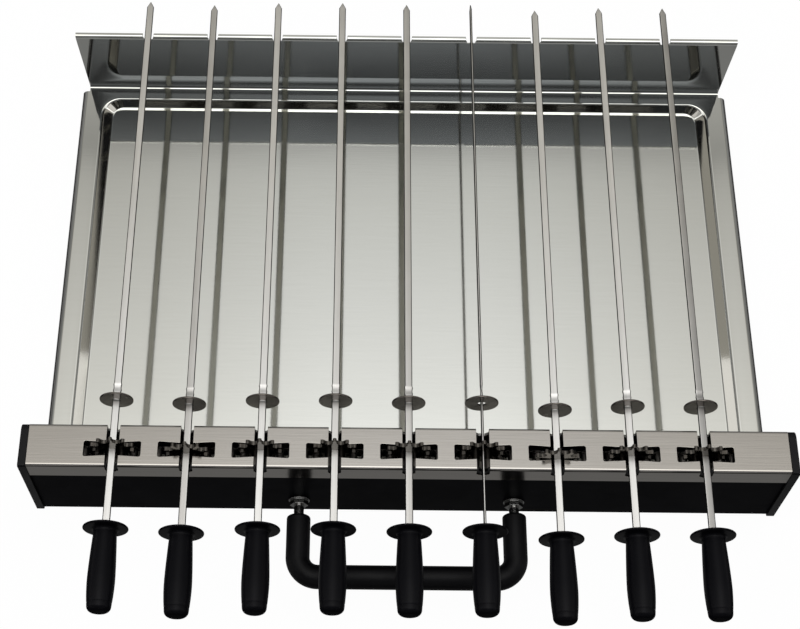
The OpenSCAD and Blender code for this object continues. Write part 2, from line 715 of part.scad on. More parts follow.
module tray() color("gainsboro") {
    rim_under = rim_height - tray_sheet;
    bend_z = rim_height - tray_bend;
    bend_up = rim_under + tray_bend;
    plate_back = back_plate_set_back + tray_sheet;
    difference() {
        union() {
            // Rim with its turned-down sides
            front_to_back(tray_front_y + tray_bend, rim_rear - tray_front_y - tray_bend)
                for (side = [0, 1]) mirror([side, 0]) {
                    translate([0, rim_under]) square([tray_width / 2 - tray_bend, tray_sheet]);
                    translate([tray_width / 2 - tray_bend, bend_z]) bend(tray_bend, tray_sheet, 0);
                    translate([tray_width / 2 - tray_sheet, 0]) square([tray_sheet, bend_z]);
                }
            // Narrow strip, back plate and its top flange
            along_bar(back_plate_width) {
                translate([rim_rear - 2, rim_under])
                    square([plate_back - tray_bend - rim_rear + 2, tray_sheet]);
                translate([plate_back - tray_bend, bend_up]) bend(tray_bend, tray_sheet, 270);
                translate([back_plate_set_back, bend_up])
                    square([tray_sheet, back_plate_top - top_bend - bend_up]);
                translate([back_plate_set_back + top_bend, back_plate_top - top_bend])
                    bend(top_bend, tray_sheet, 90);
                translate([back_plate_set_back + top_bend, back_plate_top - tray_sheet])
                    square([top_flange - top_bend, tray_sheet]);
            }
            // Flange against the rear wall of the bar
            along_bar(flange_width) {
                translate([tray_front_y + tray_bend, bend_up]) bend(tray_bend, tray_sheet, 180);
                translate([tray_front_y, bend_up])
                    square([tray_sheet, front_flange - tray_bend]);
            }
        }
        recess_space(0);
        for (k = stations) translate([station_x(k), 0, 0])
            front_to_back(back_plate_set_back - 1, top_flange + 2) notch_profile();
        for (x = screw_places)
            rod_y(x, tray_front_y - 1, screw_z, screw_diameter + 2 * running, tray_sheet + 2);
    }
    difference() {
        recess_space(tray_sheet);
        recess_space(0);
        translate([-tray_width / 2, 0, rim_height]) cube([tray_width, back_plate_set_back, 1]);
    }
}

module sheet_screws() color("lightgray") for (x = screw_places) {
    head_y = tray_front_y + tray_sheet;
    rod_y(x, rear_wall_y - 3, screw_z, screw_diameter, head_y - rear_wall_y + 3 + end);
    rod_y(x, head_y, screw_z, screw_head_diameter, screw_head_height);
    translate([x, rear_wall_y, screw_z]) rotate([90, 0, 0])
        cylinder(d = 7 / cos(30), h = 3, $fn = 6);
}

// ---- Pull handle ----

// A tube along the handle's U, from start in front of the bar; bore 0 is solid
module handle_tube(diameter, bore, start) {
    leg = handle_reach - handle_bend - start;
    bar = handle_spacing - 2 * handle_bend;
    for (side = [-1, 1]) translate([side * handle_spacing / 2, 0, handle_height]) {
        rotate([90, 0, 0]) translate([0, 0, start]) tube(diameter, bore, leg);
        translate([-side * handle_bend, -handle_reach + handle_bend, 0])
            rotate([0, 0, side > 0 ? -90 : 180]) rotate_extrude(angle = 90)
                translate([handle_bend, 0]) difference() {
                    circle(d = diameter);
                    if (bore > 0) circle(d = bore);
                }
    }
    translate([-bar / 2, -handle_reach, handle_height]) rotate([0, 90, 0]) tube(diameter, bore, bar);
}

module tube(diameter, bore, length) difference() {
    cylinder(d = diameter, h = length);
    if (bore > 0) translate([0, 0, -1]) cylinder(d = bore, h = length + 2);
}

// The rod's threaded ends reach inside the bar
module handle_rod() color("silver") handle_tube(rod_diameter, 0, -14);

module handle_sleeve() color("#161617")
    handle_tube(sleeve_diameter, rod_diameter + 2 * seat, sleeve_start);

module handle_fasteners() color("silver") for (side = [-1, 1], inside = [0, 1]) {
    washer_y = inside ? fascia_y + fascia_sheet : fascia_y - rod_washer_thickness;
    nut_y = inside ? washer_y + rod_washer_thickness : washer_y - rod_nut_thickness;
    x = side * handle_spacing / 2;
    difference() {
        union() {
            rod_y(x, washer_y, handle_height, rod_washer_diameter, rod_washer_thickness);
            translate([x, nut_y + rod_nut_thickness, handle_height]) rotate([90, 0, 0])
                cylinder(d = rod_nut_width / cos(30), h = rod_nut_thickness, $fn = 6);
        }
        rod_y(x, nut_y - 5, handle_height, rod_diameter + 2 * running, 15);
    }
}

// ---- Skewers ----

// The flat skewer, drawn along Y about its star wheel's middle
module blade(k) color("whitesmoke") {
    half = blade_width / 2;
    ears = wheel_to_washer + washer_to_ears;
    tang_end = -wheel_to_guard + guard_thickness / 2 - tang_length;
    translate([station_x(k), wheel_y(k), axis_z]) rotate([0, skewer_turn[k - 1], 0])
        translate([0, 0, -blade_thickness / 2]) linear_extrude(blade_thickness) {
            polygon([[-half, tang_end], [half, tang_end], [half, wheel_to_tip - point_length],
                     [0, wheel_to_tip], [-half, wheel_to_tip - point_length]]);
            for (side = [-1, 1])
                translate([side * (half + ear_height - ear_radius), ears]) circle(ear_radius);
        }
}

module blade_hole(k, length) {
    rotate([0, skewer_turn[k - 1], 0])
        cube([blade_width, length, blade_thickness], center = true);
}

module star_wheel(k) color("lightgray") translate([station_x(k), wheel_y(k), axis_z]) difference() {
    front_to_back(-wheel_thickness / 2, wheel_thickness) star_profile(wheel_diameter);
    blade_hole(k, wheel_thickness + 1);
}

// A loose washer that the skewer turns in
module stop_washer(k) color("silver") difference() {
    y = wheel_y(k) + wheel_to_washer - washer_thickness / 2;
    rod_y(station_x(k), y, axis_z, washer_diameter, washer_thickness);
    rod_y(station_x(k), y - 1, axis_z, 2 * blade_reach - 2 * skewer_clearance + 2 * running,
          washer_thickness + 2);
}

// Half outline of guard and grip: radius against distance from the guard
module grip_outline() {
    guard = guard_thickness / 2;
    edge = guard_thickness * 0.35;
    swell = grip_length * 0.55;
    polygon(concat(
        [[0, -guard], [guard_diameter / 2 - edge, -guard], [guard_diameter / 2, -guard + edge],
         [guard_diameter / 2, guard - edge], [guard_diameter / 2 - edge, guard],
         [grip_neck / 2 + 1.2, guard]],
        [for (i = [0 : 10]) let (t = i / 10, z = guard + 1.2 + (swell - guard - 1.2) * t)
            [grip_neck / 2 + (grip_diameter - grip_neck) / 2 * sin(90 * t), z]],
        [for (i = [1 : 6]) let (t = i / 6, z = swell + (grip_length - grip_rounding - swell) * t)
            [grip_diameter / 2 - (grip_diameter - grip_end) / 2 * (1 - cos(90 * t)), z]],
        arc([grip_end / 2 - grip_rounding, grip_length - grip_rounding], grip_rounding, 10, 90),
        [[0, grip_length]]));
}

module grip(k) color("#18181a") difference() {
    translate([station_x(k), wheel_y(k) - wheel_to_guard, axis_z]) rotate([90, 0, 0])
        rotate_extrude() grip_outline();
    translate([station_x(k), wheel_y(k) - wheel_to_guard + guard_thickness / 2 - tang_length / 2, axis_z])
        blade_hole(k, tang_length);
}

// ---- The nodes ----

from_bar_middle() top_cover();
from_bar_middle() front_fascia();
from_bar_middle() rear_wall();
from_bar_middle() end_cap_left();
from_bar_middle() end_cap_right();
from_bar_middle() skewer_saddles();
from_bar_middle() drive_chassis();
from_bar_middle() guide_rail();
from_bar_middle() drive_chain();
from_bar_middle() gear_motor();
from_bar_middle() motor_bracket();
from_bar_middle() motor_pinion();
from_bar_middle() drive_shaft();
from_bar_middle() drive_gear();
from_bar_middle() drive_sprocket();
from_bar_middle() shaft_bush();
from_bar_middle() idler_axle();
from_bar_middle() idler_sprocket();
from_bar_middle() power_inlet();
from_bar_middle() tray();
from_bar_middle() sheet_screws();
from_bar_middle() handle_rod();
from_bar_middle() handle_sleeve();
from_bar_middle() handle_fasteners();
for (k = stations) {
    from_bar_middle() blade(k);
    from_bar_middle() star_wheel(k);
    from_bar_middle() stop_washer(k);
    from_bar_middle() grip(k);
}
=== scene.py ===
# %% [markdown]
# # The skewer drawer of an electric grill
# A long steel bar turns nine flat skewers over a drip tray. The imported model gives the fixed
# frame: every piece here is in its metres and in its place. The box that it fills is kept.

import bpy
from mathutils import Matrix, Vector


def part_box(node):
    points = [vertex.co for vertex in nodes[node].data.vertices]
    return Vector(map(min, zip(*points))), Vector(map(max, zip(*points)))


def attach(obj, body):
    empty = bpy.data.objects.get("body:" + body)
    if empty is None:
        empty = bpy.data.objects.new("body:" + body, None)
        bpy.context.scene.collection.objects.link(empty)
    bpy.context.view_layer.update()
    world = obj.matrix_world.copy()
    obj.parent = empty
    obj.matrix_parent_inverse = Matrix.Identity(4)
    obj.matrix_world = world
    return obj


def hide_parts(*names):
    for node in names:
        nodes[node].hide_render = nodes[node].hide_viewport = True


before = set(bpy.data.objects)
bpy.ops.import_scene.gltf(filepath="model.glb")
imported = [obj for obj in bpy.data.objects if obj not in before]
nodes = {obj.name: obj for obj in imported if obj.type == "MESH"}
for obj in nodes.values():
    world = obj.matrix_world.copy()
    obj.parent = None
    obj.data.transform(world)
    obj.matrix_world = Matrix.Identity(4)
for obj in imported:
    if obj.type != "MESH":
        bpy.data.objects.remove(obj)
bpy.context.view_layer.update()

# %% [markdown]
# ## Places and small tools
# A maker measures this drawer from the front of the bar, in millimetres, so `at` turns such a
# measure into a place. The other tools do what a hand does again and again in Blender: pick
# points by their place, draw a line point by point, and finish a piece with a modifier.

# %% Places
import math

import bpy
from mathutils import Matrix, Vector

MM = 0.001
BAR_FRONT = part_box("top_cover")[0].y
SKEWERS = [int(name.split("_")[1]) for name in nodes if name.startswith("blade_")]


def at(x, y, z):
    """A place in metres, from millimetres, with y measured back from the bar's front."""
    return Vector((x * MM, BAR_FRONT + y * MM, z * MM))


print("bar front at y =", round(BAR_FRONT, 5), "and", len(SKEWERS), "skewers")


# %% Tools for the hand
def put_down():
    """Leaves edit mode and deselects everything."""
    if bpy.context.mode != "OBJECT":
        bpy.ops.object.mode_set(mode="OBJECT")
    bpy.ops.object.select_all(action="DESELECT")


def take_up(piece):
    """Makes a piece the only selected and the active one."""
    put_down()
    piece.select_set(True)
    bpy.context.view_layer.objects.active = piece
    return piece


def pick(piece, kind, test):
    """Opens a piece in edit mode with only the points, edges or faces that pass a test selected."""
    take_up(piece)
    bpy.ops.object.mode_set(mode="EDIT")
    bpy.ops.mesh.select_mode(type=kind)
    bpy.ops.mesh.select_all(action="DESELECT")
    bpy.ops.object.mode_set(mode="OBJECT")
    mesh = piece.data
    if kind == "VERT":
        for vert in mesh.vertices:
            vert.select = test(vert.co)
    elif kind == "EDGE":
        for edge in mesh.edges:
            edge.select = test(*(mesh.vertices[i].co for i in edge.vertices))
    else:
        for face in mesh.polygons:
            face.select = test(face.center, face.normal)
    bpy.ops.object.mode_set(mode="EDIT")


def settle(piece):
    """Puts a fresh primitive's place into its mesh, so that its object is at the origin."""
    bpy.ops.object.transform_apply(location=True, rotation=True, scale=True)
    return piece


def start_line(name, place):
    """A new piece that is one point: a tiny plane merged at its middle, open in edit mode."""
    put_down()
    bpy.ops.mesh.primitive_plane_add(size=MM, location=place)
    piece = settle(bpy.context.object)
    piece.name = name
    bpy.ops.object.mode_set(mode="EDIT")
    bpy.ops.mesh.select_mode(type="VERT")
    bpy.ops.mesh.merge(type="CENTER")
    return piece


def draw_line(name, places):
    """A new piece that is a line through places, drawn by extruding its last point."""
    piece = start_line(name, places[0])
    for here, there in zip(places, places[1:]):
        bpy.ops.mesh.extrude_region_move(TRANSFORM_OT_translate={"value": there - here})
    return piece


def pull(way):
    """Extrudes what is selected along a way in metres."""
    bpy.ops.mesh.extrude_region_move(TRANSFORM_OT_translate={"value": way})


def turn_out(steps, angle, centre, axis):
    """Spins what is selected round a centre, right-handed about the axis."""
    bpy.ops.mesh.spin(steps=steps, angle=-angle, center=centre, axis=axis)


def merge_and_orient(piece):
    """Merges doubled points and turns all faces outwards."""
    take_up(piece)
    bpy.ops.object.mode_set(mode="EDIT")
    bpy.ops.mesh.select_all(action="SELECT")
    bpy.ops.mesh.remove_doubles(threshold=1e-6)
    bpy.ops.mesh.normals_make_consistent(inside=False)
    put_down()
    return piece


def finish_with(piece, kind, **settings):
    """Adds one modifier to a piece with these settings and applies it."""
    take_up(piece)
    modifier = piece.modifiers.new(kind.title(), kind)
    for name, value in settings.items():
        setattr(modifier, name, value)
    bpy.ops.object.modifier_apply(modifier=modifier.name)
    return piece


def soften_edges(piece, width, segments=2, angle=35):
    """A small round on every sharp edge, as tumbling, moulding or sanding leaves it."""
    return finish_with(piece, "BEVEL", width=width * MM, segments=segments, limit_method="ANGLE",
                       angle_limit=math.radians(angle), miter_outer="MITER_ARC")


def shade(piece, angle=30):
    """Smooth rounds beside flats that stay flat in their reflections."""
    take_up(piece)
    bpy.ops.object.shade_smooth_by_angle(angle=math.radians(angle))
    finish_with(piece, "WEIGHTED_NORMAL", weight=100, keep_sharp=True)
    put_down()
    return piece


def another(piece, name, move):
    """A copy of a piece with a mesh of its own, moved in its mesh."""
    copy = piece.copy()
    copy.data = piece.data.copy()
    copy.name = name
    bpy.context.collection.objects.link(copy)
    copy.data.transform(move)
    return copy


def arc(centre, radius, start, end, steps):
    """Points of an arc in a plane, from start to end in degrees."""
    angles = [math.radians(start + (end - start) * i / steps) for i in range(steps + 1)]
    return [(centre[0] + radius * math.cos(a), centre[1] + radius * math.sin(a)) for a in angles]


# %% [markdown]
# ## Finishes
# Nearly all of the drawer is stainless steel, but no two pieces shine alike: the bar's cover is
# brushed along its length, the tray is rolled bright, and the skewers are drawn flat bar. What
# they share is a grain, fine lines that run one way, and the smudges of handling. Both become
# node groups, built once and given other numbers by each finish.


# %% A grain and smudges that every metal can use
def new_group(name, inputs, outputs):
    """A shader node group with named sockets, its input node and its output node."""
    group = bpy.data.node_groups.new(name, "ShaderNodeTree")
    for label, kind, value in inputs:
        socket = group.interface.new_socket(name=label, in_out="INPUT", socket_type=kind)
        if value is not None:
            socket.default_value = value
    for label, kind in outputs:
        group.interface.new_socket(name=label, in_out="OUTPUT", socket_type=kind)
    return group, group.nodes.new("NodeGroupInput"), group.nodes.new("NodeGroupOutput")


def node(tree, kind, **settings):
    """A node with its properties set and, for names of sockets, their values or links."""
    made = tree.nodes.new(kind)
    sockets = settings.pop("sockets", {})
    for name, value in settings.items():
        setattr(made, name, value)
    for name, value in sockets.items():
        if isinstance(value, bpy.types.NodeSocket):
            tree.links.new(value, made.inputs[name])
        else:
            made.inputs[name].default_value = value
    return made


def maths(tree, operation, *values, **settings):
    """One step of arithmetic between sockets or numbers; gives its result."""
    return node(tree, "ShaderNodeMath", operation=operation, sockets=dict(enumerate(values)),
                **settings).outputs[0]


def remap(tree, value, start, end, low, high, curve="LINEAR"):
    """Turns start to end of a value into low to high, and holds both ends."""
    return node(tree, "ShaderNodeMapRange", interpolation_type=curve, sockets={
        "Value": value, "From Min": start, "From Max": end,
        "To Min": low, "To Max": high}).outputs[0]


def coordinates(tree, kind="Object"):
    """The X, Y and Z sockets of a texture coordinate."""
    place = node(tree, "ShaderNodeTexCoord").outputs[kind]
    return node(tree, "ShaderNodeSeparateXYZ", sockets={0: place}).outputs


def grain_group():
    """Fine lines along one axis: a noise that is stretched by the Stretch vector."""
    group, start, end = new_group(
        "sheet_grain",
        [("Stretch", "NodeSocketVector", (1, 1, 1)), ("Depth", "NodeSocketFloat", 0.1)],
        [("Lines", "NodeSocketFloat"), ("Normal", "NodeSocketVector")])
    place = node(group, "ShaderNodeTexCoord").outputs["Object"]
    stretched = node(group, "ShaderNodeMapping", sockets={
        "Vector": place, "Scale": start.outputs["Stretch"]})
    lines = node(group, "ShaderNodeTexNoise", sockets={
        "Vector": stretched.outputs[0], "Scale": 1.0, "Detail": 5.0, "Roughness": 0.65})
    bump = node(group, "ShaderNodeBump", sockets={
        "Height": lines.outputs["Fac"], "Strength": start.outputs["Depth"], "Distance": 0.0002})
    group.links.new(lines.outputs["Fac"], end.inputs["Lines"])
    group.links.new(bump.outputs[0], end.inputs["Normal"])
    return group


def smudge_group():
    """Soft clouds with a few sharper spots, between 0 and 1."""
    group, start, end = new_group(
        "handling_smudges",
        [("Size", "NodeSocketFloat", 20.0), ("Spots", "NodeSocketFloat", 0.3)],
        [("Smudge", "NodeSocketFloat")])
    place = node(group, "ShaderNodeTexCoord").outputs["Object"]
    clouds = node(group, "ShaderNodeTexNoise", sockets={
        "Vector": place, "Scale": start.outputs["Size"], "Detail": 4.0, "Roughness": 0.55,
        "Distortion": 0.6})
    spots = node(group, "ShaderNodeTexVoronoi", sockets={
        "Vector": place, "Scale": 70.0, "Randomness": 1.0})
    spot = remap(group, spots.outputs["Distance"], 0.05, 0.22, 1.0, 0.0)
    faint = maths(group, "MULTIPLY", spot, start.outputs["Spots"])
    both = maths(group, "ADD", clouds.outputs["Fac"], faint, use_clamp=True)
    group.links.new(both, end.inputs["Smudge"])
    return group


SHEET_GRAIN = grain_group()
HANDLING_SMUDGES = smudge_group()
print("shared effects:", SHEET_GRAIN.name, HANDLING_SMUDGES.name)


# %% Metals
def place_group(tree, group, **values):
    """A shared effect placed in a material, with its own numbers."""
    made = tree.nodes.new("ShaderNodeGroup")
    made.node_tree = group
    for name, value in values.items():
        made.inputs[name].default_value = value
    return made


def new_finish(name, **sockets):
    """A material with one Principled shader, its constants set on the shader's own sockets."""
    material = bpy.data.materials.new(name)
    material.use_nodes = True
    shader = material.node_tree.nodes["Principled BSDF"]
    for label, value in sockets.items():
        shader.inputs[label.replace("_", " ")].default_value = value
    return material, material.node_tree, shader


def between(tree, factor, dark, light):
    """A colour between two others."""
    return node(tree, "ShaderNodeMix", data_type="RGBA", sockets={
        "Factor": factor, "A": (*dark, 1), "B": (*light, 1)}).outputs["Result"]


def metal(name, dark, light, stretch, depth, smooth, rough, size, spots=0.2, edge=1.0):
    """Steel or brass: its colour follows the grain and its roughness the smudges.

    An edge factor below 1 darkens what isn't level, such as the rounded sides of a flat bar:
    painted shade in the colour.
    """
    material, tree, shader = new_finish(name, Metallic=1.0)
    grain = place_group(tree, SHEET_GRAIN, Stretch=stretch, Depth=depth)
    smudge = place_group(tree, HANDLING_SMUDGES, Size=size, Spots=spots)
    colour = between(tree, grain.outputs["Lines"], dark, light)
    if edge != 1.0:
        # Painted shade: the colour is darkened where the normal turns away from level.
        level = maths(tree, "ABSOLUTE", coordinates(tree, "Normal")["Z"])
        colour = node(tree, "ShaderNodeVectorMath", operation="SCALE", sockets={
            0: colour, "Scale": remap(tree, level, 0.92, 0.99, edge, 1.0)}).outputs[0]
    gloss = remap(tree, smudge.outputs["Smudge"], 0.3, 0.9, smooth, rough)
    tree.links.new(colour, shader.inputs["Base Color"])
    tree.links.new(gloss, shader.inputs["Roughness"])
    tree.links.new(grain.outputs["Normal"], shader.inputs["Normal"])
    return material


cover_steel = metal(
    "brushed_cover_steel", dark=(0.275, 0.26, 0.238), light=(0.38, 0.362, 0.335),
    stretch=(18, 1500, 1500), depth=0.14, smooth=0.13, rough=0.18, size=14)
tray_steel = metal(
    "bright_tray_steel", dark=(0.595, 0.60, 0.565), light=(0.64, 0.645, 0.61),
    stretch=(26, 700, 700), depth=0.02, smooth=0.045, rough=0.09, size=7, spots=0.05)
# Painted shade: edge=0.04 makes the bar's rounded sides nearly black in their colour.
skewer_steel = metal(
    "drawn_skewer_steel", dark=(0.455, 0.45, 0.435), light=(0.62, 0.615, 0.60),
    stretch=(1300, 14, 1300), depth=0.12, smooth=0.28, rough=0.40, size=30, spots=0.15,
    edge=0.04)
# Painted shade: the wheels' steel is made nearly black for the shade they sit in under the bar's
# cover.
wheel_steel_darkened_for_shade = metal(
    "stamped_wheel_steel", dark=(0.05, 0.045, 0.04), light=(0.15, 0.14, 0.125),
    stretch=(420, 420, 420), depth=0.10, smooth=0.12, rough=0.25, size=60)
washer_steel = metal(
    "stamped_washer_steel", dark=(0.085, 0.075, 0.068), light=(0.18, 0.165, 0.15),
    stretch=(500, 500, 500), depth=0.10, smooth=0.16, rough=0.30, size=60, spots=0.3)
dull_zinc = metal(
    "dull_zinc_fasteners", dark=(0.10, 0.10, 0.10), light=(0.24, 0.24, 0.23),
    stretch=(300, 300, 300), depth=0.10, smooth=0.20, rough=0.35, size=60)
bright_steel = metal(
    "plated_bright_steel", dark=(0.55, 0.55, 0.55), light=(0.68, 0.68, 0.67),
    stretch=(200, 200, 200), depth=0.05, smooth=0.12, rough=0.22, size=50)
inner_steel = metal(
    "plain_inner_steel", dark=(0.30, 0.30, 0.30), light=(0.44, 0.44, 0.43),
    stretch=(60, 400, 400), depth=0.12, smooth=0.35, rough=0.50, size=20)
chain_steel = metal(
    "oiled_chain_steel", dark=(0.06, 0.055, 0.05), light=(0.16, 0.15, 0.14),
    stretch=(300, 300, 300), depth=0.20, smooth=0.28, rough=0.55, size=90, spots=0.4)
gear_brass = metal(
    "machined_gear_brass", dark=(0.52, 0.36, 0.14), light=(0.72, 0.55, 0.26),
    stretch=(300, 900, 300), depth=0.10, smooth=0.22, rough=0.34, size=40)
print("metals:", [m.name for m in (cover_steel, tray_steel, skewer_steel, wheel_steel_darkened_for_shade,
                                   washer_steel, dull_zinc, bright_steel, inner_steel,
                                   chain_steel, gear_brass)])


# %% A heat tint on the skewers and painted shade on the tray's side folds
def tint(material, share, colour):
    """Multiplies a finish's colour by another one as far as a share, 0 to 1, says."""
    tree = material.node_tree
    base = tree.nodes["Principled BSDF"].inputs["Base Color"]
    mixed = node(tree, "ShaderNodeMix", data_type="RGBA", blend_type="MULTIPLY", sockets={
        "Factor": share, "A": base.links[0].from_socket, "B": (*colour, 1)})
    tree.links.new(mixed.outputs["Result"], base)


HEAT_START, HEAT_END = 0.05, 0.30
tree = skewer_steel.node_tree
heat = remap(tree, coordinates(tree)["Y"], HEAT_START, HEAT_END, 0.0, 1.0)
tint(skewer_steel, heat, (1.0, 0.98, 0.93))

# Painted shade: the colour of the tray's outer side folds is darkened to about a quarter.
FOLD_STARTS, FOLD_LOW, FOLD_HIGH, FADE = 0.2928, 0.0085, 0.0145, 0.001
tree = tray_steel.node_tree
place = coordinates(tree)
aside = maths(tree, "ABSOLUTE", place["X"])
outer = remap(tree, aside, FOLD_STARTS, FOLD_STARTS + FADE, 0.0, 1.0)
upper = remap(tree, place["Z"], FOLD_LOW, FOLD_LOW + FADE, 0.0, 1.0)
lower = remap(tree, place["Z"], FOLD_HIGH, FOLD_HIGH + FADE, 1.0, 0.0)
painted_fold_shade = maths(tree, "MULTIPLY", maths(tree, "MULTIPLY", outer, upper), lower)
tint(tray_steel, painted_fold_shade, (0.25, 0.25, 0.26))
print("tinted:", skewer_steel.name, "and", tray_steel.name)

# %% Blacks and plastics
def skin_group():
    """The fine pimpled skin of powder coat, moulded plastic and rubber."""
    group, start, end = new_group(
        "pimpled_skin",
        [("Fineness", "NodeSocketFloat", 900.0), ("Depth", "NodeSocketFloat", 0.2)],
        [("Pimples", "NodeSocketFloat"), ("Normal", "NodeSocketVector")])
    place = node(group, "ShaderNodeTexCoord").outputs["Object"]
    pimples = node(group, "ShaderNodeTexNoise", sockets={
        "Vector": place, "Scale": start.outputs["Fineness"], "Detail": 2.0, "Roughness": 0.5})
    bump = node(group, "ShaderNodeBump", sockets={
        "Height": pimples.outputs["Fac"], "Strength": start.outputs["Depth"], "Distance": 0.0003})
    group.links.new(pimples.outputs["Fac"], end.inputs["Pimples"])
    group.links.new(bump.outputs[0], end.inputs["Normal"])
    return group


PIMPLED_SKIN = skin_group()


def dull(name, dark, light, fineness, depth, smooth, rough, **sockets):
    """A coat, plastic or rubber: pimpled, a little lighter where hands have rubbed it."""
    material, tree, shader = new_finish(name, **sockets)
    skin = place_group(tree, PIMPLED_SKIN, Fineness=fineness, Depth=depth)
    smudge = place_group(tree, HANDLING_SMUDGES, Size=35.0, Spots=0.1)
    colour = between(tree, smudge.outputs["Smudge"], dark, light)
    gloss = remap(tree, smudge.outputs["Smudge"], 0.3, 0.9, rough, smooth)
    tree.links.new(colour, shader.inputs["Base Color"])
    tree.links.new(gloss, shader.inputs["Roughness"])
    tree.links.new(skin.outputs["Normal"], shader.inputs["Normal"])
    return material


black_enamel = dull(
    "black_fascia_enamel", dark=(0.0006, 0.0006, 0.0012), light=(0.0018, 0.0018, 0.003),
    fineness=700, depth=0.08, smooth=0.30, rough=0.42, Specular_IOR_Level=0.01)
black_plastic = dull(
    "black_moulded_plastic", dark=(0.002, 0.002, 0.0025), light=(0.005, 0.005, 0.006),
    fineness=1300, depth=0.2, smooth=0.38, rough=0.5, Specular_IOR_Level=0.15)
grip_plastic = dull(
    "black_grip_plastic", dark=(0.0012, 0.0012, 0.0020), light=(0.0035, 0.0035, 0.0050),
    fineness=1700, depth=0.16, smooth=0.30, rough=0.42, Specular_IOR_Level=0.07)
handle_rubber = dull(
    "black_handle_rubber", dark=(0.0015, 0.0015, 0.0020), light=(0.0045, 0.0045, 0.0055),
    fineness=1100, depth=0.18, smooth=0.36, rough=0.50, Specular_IOR_Level=0.12)
rail_plastic = dull(
    "natural_rail_plastic", dark=(0.62, 0.60, 0.52), light=(0.72, 0.70, 0.63),
    fineness=500, depth=0.08, smooth=0.35, rough=0.5)
motor_paint = dull(
    "grey_motor_paint", dark=(0.09, 0.10, 0.11), light=(0.14, 0.15, 0.165),
    fineness=600, depth=0.15, smooth=0.4, rough=0.5)
print("blacks, plastics and paint:", [m.name for m in (black_enamel, black_plastic, grip_plastic,
                                                       handle_rubber, rail_plastic, motor_paint)])


# %% [markdown]
# ## Pieces that keep their solid
# The saddles, caps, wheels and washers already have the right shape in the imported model. A real
# stamped or moulded edge is never perfectly sharp, and the thin bright line on it is what the eye
# reads as metal. So a copy of each solid is merged, its flat triangles are joined, and its edges
# get a small round. The solid itself is left as it is, and the copy stands for it.


# %% Dress a copy of a solid
def dress(name, finish, slot, body, edge, segments):
    """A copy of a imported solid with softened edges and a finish, which replaces the solid."""
    piece = bpy.data.objects.new("dressed_" + name, nodes[name].data.copy())
    bpy.context.collection.objects.link(piece)
    take_up(piece)
    bpy.ops.mesh.customdata_custom_splitnormals_clear()
    bpy.ops.object.mode_set(mode="EDIT")
    bpy.ops.mesh.select_all(action="SELECT")
    bpy.ops.mesh.remove_doubles(threshold=2e-6)
    bpy.ops.mesh.dissolve_limited(angle_limit=math.radians(0.6))
    put_down()
    soften_edges(piece, edge, segments)
    shade(piece)
    return hand_over(piece, finish, slot, body, name)


def hand_over(piece, finish, slot, body, *replaced):
    """Gives a finished piece its material, its body and the nodes that it stands for."""
    piece.data.materials.clear()
    piece.data.materials.append(finish)
    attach(piece, body)
    if replaced:
        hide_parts(*replaced)
    return piece


for name, finish, slot, edge, segments in [
        ("front_fascia", black_enamel, "black_enamel", 0.15, 2),
        ("end_cap_left", black_plastic, "black_plastic", 0.6, 3),
        ("end_cap_right", black_plastic, "black_plastic", 0.6, 3),
        ("skewer_saddles", black_plastic, "black_plastic", 0.3, 2),
        ("handle_fasteners", dull_zinc, "bright_steel", 0.25, 2)]:
    piece = dress(name, finish, slot, "drawer", edge, segments)
    print(piece.name, len(piece.data.polygons), "faces")

for k in SKEWERS:
    dress(f"star_wheel_{k}", wheel_steel_darkened_for_shade, "skewer_steel", f"skewer_{k}", 0.3, 2)
    dress(f"stop_washer_{k}", washer_steel, "bright_steel", f"washer_{k}", 0.45, 3)
print("wheels and washers dressed:", 2 * len(SKEWERS))

# %% Solids inside the bar keep their mesh and only get a finish
for name, finish in {
        "rear_wall": inner_steel, "drive_chassis": inner_steel, "guide_rail": rail_plastic,
        "drive_chain": chain_steel, "gear_motor": motor_paint, "motor_bracket": inner_steel,
        "motor_pinion": gear_brass, "drive_shaft": inner_steel, "drive_gear": gear_brass,
        "drive_sprocket": chain_steel, "shaft_bush": gear_brass, "idler_axle": inner_steel,
        "idler_sprocket": chain_steel, "handle_rod": bright_steel, "power_inlet": black_plastic,
        "sheet_screws": bright_steel}.items():
    for slot in nodes[name].material_slots:
        slot.material = finish
print("inner solids finished")

# %% [markdown]
# ## The bar's cover
# The cover is one strip of sheet, folded over the top of the bar with a lip in front and a flange
# behind. Drawn as a line through its bends and then pulled along the bar, it gets true rounded
# folds, which is where its long bright highlights come from. Each skewer's slot and the waisted
# opening for its wheel are cut out afterwards.

# %% Fold the cover's sheet
cover_low, cover_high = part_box("top_cover")
LENGTH = (cover_high.x - cover_low.x) / MM
TOP = cover_high.z / MM
DEPTH = (cover_high.y - cover_low.y) / MM
SHEET = 0.8
BEND = 2.4
LIP = 20.0
FLANGE = 18.0
section = ([(0, TOP - LIP)] + arc((BEND, TOP - BEND), BEND, 180, 90, 8)
           + arc((DEPTH - BEND, TOP - BEND), BEND, 90, 0, 8) + [(DEPTH, TOP - FLANGE)])
cover = draw_line("cover", [at(-LENGTH / 2, y, z) for y, z in section])
bpy.ops.mesh.select_all(action="SELECT")
pull((LENGTH * MM, 0, 0))
merge_and_orient(cover)
pick(cover, "FACE", lambda centre, normal: True)
if max(cover.data.polygons, key=lambda face: face.center.z).normal.z < 0:
    bpy.ops.mesh.flip_normals()
finish_with(cover, "SOLIDIFY", thickness=SHEET * MM, offset=-1.0, use_even_offset=True)
print("cover:", LENGTH, "x", DEPTH, "mm,", len(cover.data.polygons), "faces")

# %% Cut the slots and the waisted openings
SLOT = 10.0
SLOT_FLOOR = TOP - 10.7
CHAMFER = 2.6
OVERRUN = 2.0
CUT_ABOVE = 3.0

def cutter(name, outline, way):
    """A closed outline, filled and pulled into a solid that cuts."""
    piece = draw_line(name, outline)
    bpy.ops.mesh.select_all(action="SELECT")
    bpy.ops.mesh.edge_face_add()
    bpy.ops.mesh.select_all(action="SELECT")
    pull(way)
    return merge_and_orient(piece)


